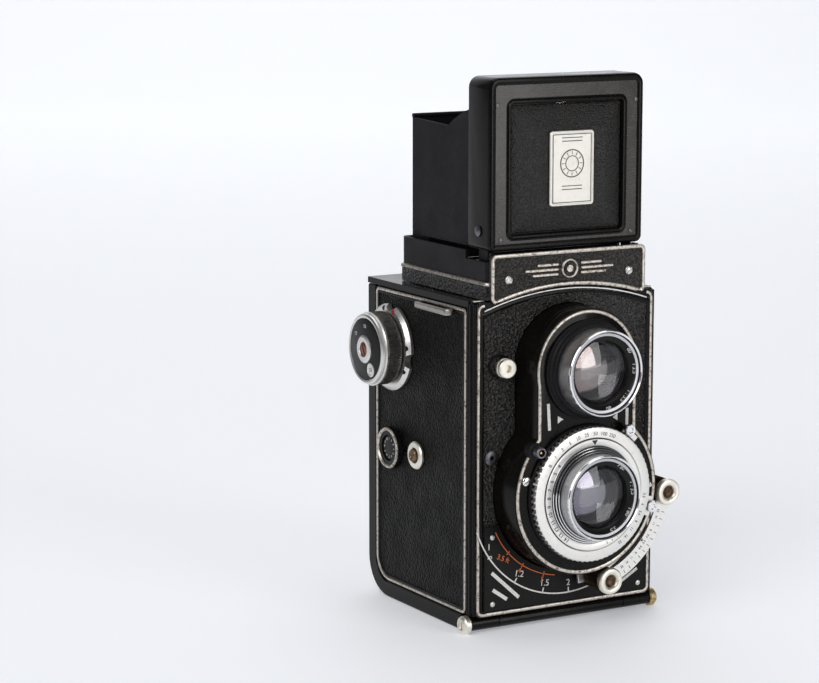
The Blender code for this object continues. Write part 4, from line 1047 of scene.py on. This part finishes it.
def focusing():
    """Focusing lever: rear sector, knurled posts, depth of field arc and ivory knob rings."""
    c = TAKING
    low, high = KNOB_ANGLES
    sector = arc_band(c, 31.0, 36.4, low - 11, high + 11, 48)
    shape("focus_sector", prism(sector, "y", -3.6, -2.4), NICKEL, "focusing_lever", ["focusing_lever"],
          bevel=0.2)
    band = arc_band(c, 32.3, 37.7, low, high, 64)
    shape("depth_scale", prism(band, "y", -12.3, -11.4), DIAL, "focusing_lever", bevel=0.18)
    words = ("22", "16", "11", "8", "5.6", "3.5", "5.6", "8", "11", "16", "22")
    middle_angle = (low + high) / 2
    entries = []
    marks = []
    for i, word in enumerate(words):
        angle = middle_angle + (i - 5) * 4.2
        at = polar(c, 34.1, angle)
        entries.append((word, 1.25, facing_front(at[0], -12.36, at[1], angle - 90 + 180)))
        marks.append(tick(c, angle, 35.6, 36.9, 0.22, -12.37, -12.2))
    pointer = [polar(c, r, middle_angle + a) for r, a in ((32.5, -1.2), (32.5, 1.2), (33.4, 0))]
    marks.append(prism(pointer, "y", -12.37, -12.2))
    marks.append(letters(entries))
    shape("depth_scale_marks", merged(marks), BLACK, "focusing_lever")
    for name, angle in (("lower", low), ("upper", high)):
        at = polar(c, LEVER_R, angle)
        post = [(0, -2.3), (4.3, -2.3), (4.5, -2.6), (4.5, -12.6), (4.2, -12.9), (0, -12.9)]
        shape(f"focus_post_{name}", lathe(post, "y", at, 104, 0.3), BROWN, "focusing_lever",
              slot="black_satin", sharp=25)
        ring = [(2.2, -12.7), (4.6, -12.7), (4.85, -13.2), (4.85, -14.6), (4.5, -15.2), (3.9, -15.4),
                (3.0, -15.3), (2.5, -14.9), (2.2, -14.2)]
        shape(f"focus_ring_{name}", lathe(ring, "y", at, 80), IVORY, "focusing_lever",
              [f"focus_knob_{name}"], slot="ivory_ring")
        core = [(0, -12.7), (2.3, -12.7), (2.3, -14.3), (1.7, -14.0), (1.1, -13.6), (0, -13.5)]
        shape(f"focus_core_{name}", lathe(core, "y", at, 48), BROWN, "focusing_lever", slot="satin_steel")


# ---- hood -----------------------------------------------------------------------------------
def hood_lid():
    """Pressed lid: rounded rim, shallow recess and a raised bead round the grained panel."""
    low, high = LID_LOW, LID_HIGH
    radii = (2.5, 2.5, 4.0, 4.0)
    outline = round_rect((low.x, low.z), (high.x, high.z), radii, 10)
    front, rear = low.y, high.y
    foot, head = Vector((-24.6, 140.7)), Vector((24.6, 189.2))
    window = round_rect(foot, head, (2.4,) * 4, 10)

    def level(points, distance, y):
        """The points at one depth, moved inwards."""
        return [(x, y, z) for x, z in inset(points, distance)]

    rings = [level(outline, 0.8, front + 1.7), level(outline, 0.8, rear), level(outline, 0.05, rear),
             level(outline, 0.0, rear - 0.2), level(outline, 0.0, front + 1.6),
             level(outline, 0.1, front + 0.75), level(outline, 0.3, front + 0.3),
             level(outline, 0.8, front + 0.05), level(outline, 1.4, front),
             level(outline, 2.0, front + 0.08), level(outline, 2.6, front + 0.45),
             level(window, -0.5, front + 0.45), level(window, 0.0, front + 0.25),
             level(window, 0.3, front - 0.12), level(window, 0.7, front - 0.2),
             level(window, 1.1, front - 0.05), level(window, 1.35, front + 0.5),
             level(window, 1.5, front + 2.4)]
    notches = [box((sign * 30.35 - 1.05, front + 1.75, low.z - 1), (sign * 30.35 + 1.05, 20, low.z + 2))
               for sign in (-1, 1)]
    notches.append(rod("x", along_x("hood_pivot_left"), 1.4, -35, 35, 32))
    shape("lid_shell", cut(loft(rings), notches), ENAMEL, "hood_lid", ["hood_lid"], sharp=32)
    top, under = front + 0.38, front + 0.7
    flange = [level(outline, 2.7, under), level(outline, 2.7, top),
              level(window, -0.7, top), level(window, -0.7, under)]
    # the recessed face between rim and bead carries a painted sheen in its colour
    shape("lid_flange", loft(flange, closed=True), LID_SHEEN_ENAMEL, "hood_lid")
    for name, x, z in (("top_left", -28.9, 187.8), ("top_right", 28.9, 187.8),
                       ("foot_left", -27.3, 140.7), ("foot_right", 27.3, 140.7)):
        rivet = [(0, front + 0.5), (0.85, front + 0.5), (0.8, front + 0.15), (0.45, front - 0.02),
                 (0, front - 0.08)]
        shape(f"lid_rivet_{name}", lathe(rivet, "y", (x, z), 24), SMOKED, "hood_lid", slot="black_enamel")
    base = round_rect((-22.9, 142.5), (22.9, 187.4), (1.2,) * 4, 6)
    top = round_rect((-14.8, 150.8), (14.8, 179.4), (1.2,) * 4, 6)
    slope = [[(a[0] + (b[0] - a[0]) * t, front + y, a[1] + (b[1] - a[1]) * t) for a, b in zip(base, top)]
             for t, y in ((0.0, 2.3), (0.0, 1.3), (0.05, 1.05), (0.25, 0.45), (0.6, -0.6), (0.9, -1.5),
                          (1.0, -1.75))]
    slope += [[(x, front + y, z) for x, z in inset(top, d)] for d, y in ((0.35, -1.95), (0.9, -2.0))]
    shape("lid_grained_panel", loft(slope), CRINKLE, "hood_lid", ["lid_panel"], sharp=60)
    low, high = mm_box("lid_badge")
    plate = round_rect((low.x, low.z), (high.x, high.z), (1.2,) * 4, 6)
    rings = [level(plate, 0.0, high.y), level(plate, 0.0, low.y + 0.25), level(plate, 0.2, low.y),
             level(plate, 0.6, low.y), level(plate, 0.7, low.y + 0.16), level(plate, 0.9, low.y + 0.16),
             level(plate, 1.0, low.y + 0.04)]
    shape("badge_plate", loft(rings), BADGE, "hood_lid", ["lid_badge"], sharp=30)
    face, raised = low.y + 0.05, low.y - 0.04
    motif = [prism(arc_band((0, 166.5), 4.6, 5.0, 0, 359.9, 64), "y", raised, face),
             prism(arc_band((0, 166.5), 2.5, 2.8, 0, 359.9, 48), "y", raised, face)]
    motif += [tick((0, 166.5), a, 3.1, 4.3, 0.28, raised, face) for a in range(0, 360, 30)]
    motif += [bar((-4.2, z), (4.2, z), 0.3, raised, face) for z in (157.4, 158.6, 174.4, 175.6)]
    left, right, foot, head = low.x + 1.25, high.x - 1.25, low.z + 1.25, high.z - 1.25
    corners = [(left, foot), (right, foot), (right, head), (left, head)]
    motif += [bar(a, b, 0.28, raised, face) for a, b in zip(corners, corners[1:] + corners[:1])]
    shape("badge_motif", merged(motif), BADGE_INK, "hood_lid")


def hood_details():
    """Pivots, sector plates, the rolled rear edge and the magnifier."""
    low, high = mm_box("hood_rear_panel")
    roll = rod("x", (high.y - 0.7, high.z - 0.7), 0.65, low.x + 0.3, high.x - 0.3, 24)
    shape("hood_rear_roll", roll, MATTE, "hood_rear")
    for name, sign in SIDES:
        low, high = mm_box(f"hood_side_{name}")
        face = low.x if sign < 0 else high.x
        sector = [(14.9, 138.0)] + ring_points((8.0, 143.4), 41.2, -7.5, 80, 32)
        plate = prism(sector, "x", min(face, face + sign * 0.28), max(face, face + sign * 0.28))
        shape(f"hood_sector_{name}", plate, MATTE, "hood_lid", bevel=0.1)
    for name, sign in SIDES:
        node = f"hood_pivot_{name}"
        c = along_x(node)
        profile = [(0, sign * 29.5), (1.0, sign * 29.5), (1.0, sign * 32.45), (1.9, sign * 32.45),
                   (1.85, sign * 32.8), (1.3, sign * 33.15), (0, sign * 33.2)]
        shape(f"hood_rivet_{name}", lathe(profile, "x", c, 40), SMOKED, nodes=[node], slot="satin_steel")
    low, high = mm_box("magnifier_frame")
    c = (0, 184.0)
    ring = lathe([(10.3, low.y + 1.0), (12.0, low.y + 1.0), (12.0, high.y - 0.6), (11.6, high.y - 0.2),
                  (10.3, high.y - 0.2)], "y", c, 96)
    arm = prism([(-6.0, 172.0), (6.0, 172.0), (7.4, 174.6), (-7.4, 174.6)], "y", 2.6, 3.5)
    pin = rod("x", (3.0, 172.2), 1.1, -9, 9, 32)
    grip = prism([(-8.0, 171.4), (8.0, 171.4), (8.0, 172.8), (-8.0, 172.8)], "y", 2.5, 3.5)
    shape("magnifier_ring", merged([ring, arm, pin, grip]), MATTE, "magnifier", ["magnifier_frame"])
    low, high = mm_box("magnifier_lens")
    profile = [(10.0 * i / 10, low.y + 0.75 * (i / 10) ** 2) for i in range(11)]
    profile += [(10.0 * (1 - i / 10), high.y - 0.95 * (1 - i / 10) ** 2) for i in range(11)]
    shape("magnifier_glass", lathe(profile, "y", c, 72), WINDOW, "magnifier", ["magnifier_lens"],
          sharp=60)


# ---- finishes of the CAD nodes that show as they are ----------------------------------------
def paint_nodes():
    """Give the CAD nodes that stay in sight their looks."""
    looks = {ENAMEL: ("body_casting", "back_door"),
             LEATHER: ("front_plate", "hood_base"),
             SHADED_SIDE_LEATHER: ("side_cover_left", "side_cover_right"),
             FINE_LEATHER: ("name_plate",),
             SATIN: ("hood_collar",),
             MATTE: ("hood_side_left", "hood_side_right", "hood_rear_panel", "film_gate", "mirror_box",
                     "pressure_plate"),
             NICKEL: ("film_roller_upper", "film_roller_lower", "hinge_pin"),
             SPOOL: ("take_up_spool",), GROUND: ("focusing_screen",), MIRROR: ("viewing_mirror",)}
    for look, nodes in looks.items():
        for node in nodes:
            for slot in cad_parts[node].material_slots:
                slot.material = look


# ---- studio ---------------------------------------------------------------------------------
COOL_WHITE = (0.93, 0.95, 1.0, 1)
VIEW_TURN = radians(-29.86)             # how far the camera stands to the left of the front


def studio():
    """Pale sweep, soft boxes and the camera at the photograph's angle."""
    scene = bpy.context.scene
    half, depth, radius, height = 3.0, 2.2, 0.9, 3.0
    profile = [(-0.75, 0.0)] + [(depth + radius * sin(radians(a)), radius * (1 - cos(radians(a))))
                               for a in range(0, 91, 9)] + [(depth + radius, height)]
    bm = bmesh.new()
    rows = [[bm.verts.new((x, y, z)) for y, z in profile] for x in (-half * 1.5, half * 1.5)]
    for i in range(len(profile) - 1):
        bm.faces.new((rows[0][i], rows[1][i], rows[1][i + 1], rows[0][i + 1]))
    mesh = bpy.data.meshes.new("backdrop")
    bm.to_mesh(mesh)
    bm.free()
    mesh.shade_smooth()
    paper = Look("pale_paper", (0.80, 0.81, 0.83), 0.6, specular=0.2)
    paper.set(emission_color=COOL_WHITE, emission_strength=0.30)
    mesh.materials.append(paper.material)
    backdrop = bpy.data.objects.new("backdrop", mesh)
    backdrop.rotation_euler = (0, 0, VIEW_TURN)
    scene.collection.objects.link(backdrop)

    world = bpy.data.worlds.new("studio")
    world.use_nodes = True
    sky = world.node_tree.nodes["Background"]
    sky.inputs["Color"].default_value = COOL_WHITE
    sky.inputs["Strength"].default_value = 0.12
    scene.world = world
    target = Vector((0, 0, 0.10))
    lights = (("key_left", (-1.15, -0.75, 1.05), (1.15, 1.25), 12.0, target),
              ("top", (0.1, 0.15, 1.5), (1.3, 1.0), 5.0, target),
              ("fill_right", (0.48, -1.35, 0.36), (0.64, 0.9), 6.5, target),
              ("backdrop_wash", (0.6, 1.4, 2.4), (2.0, 0.6), 34.0, Vector((1.2, 2.9, 0.9))))
    for name, place, size, power, aim in lights:
        lamp = bpy.data.lights.new(name, "AREA")
        lamp.shape = "RECTANGLE"
        lamp.size, lamp.size_y = size
        lamp.energy = power
        obj = bpy.data.objects.new(name, lamp)
        obj.location = place
        obj.rotation_euler = (aim - Vector(place)).to_track_quat("-Z", "Y").to_euler()
        scene.collection.objects.link(obj)

    lens = bpy.data.cameras.new("camera")
    lens.lens = 117.52
    lens.sensor_width = 36.0
    lens.clip_start = 0.05
    camera = bpy.data.objects.new("camera", lens)
    camera.location = (-0.515433, -0.785837 + FRONT, 0.260064)
    camera.rotation_euler = (radians(80.477), 0, VIEW_TURN)
    scene.collection.objects.link(camera)
    scene.camera = camera
    scene.view_settings.view_transform = "Standard"


# ---- everything ------------------------------------------------------------------------------
front()
side("left", -1)
side("right", 1)
corner_ribs()
strap_lugs()
hood_base_bead()
name_plate()
distance_scale()
release()
hinge()
back()
advance_knob()
advance_base()
counter()
spool_knobs()
lens_panel()
lenses()
shutter()
focusing()
hood_lid()
hood_details()
paint_nodes()
studio()
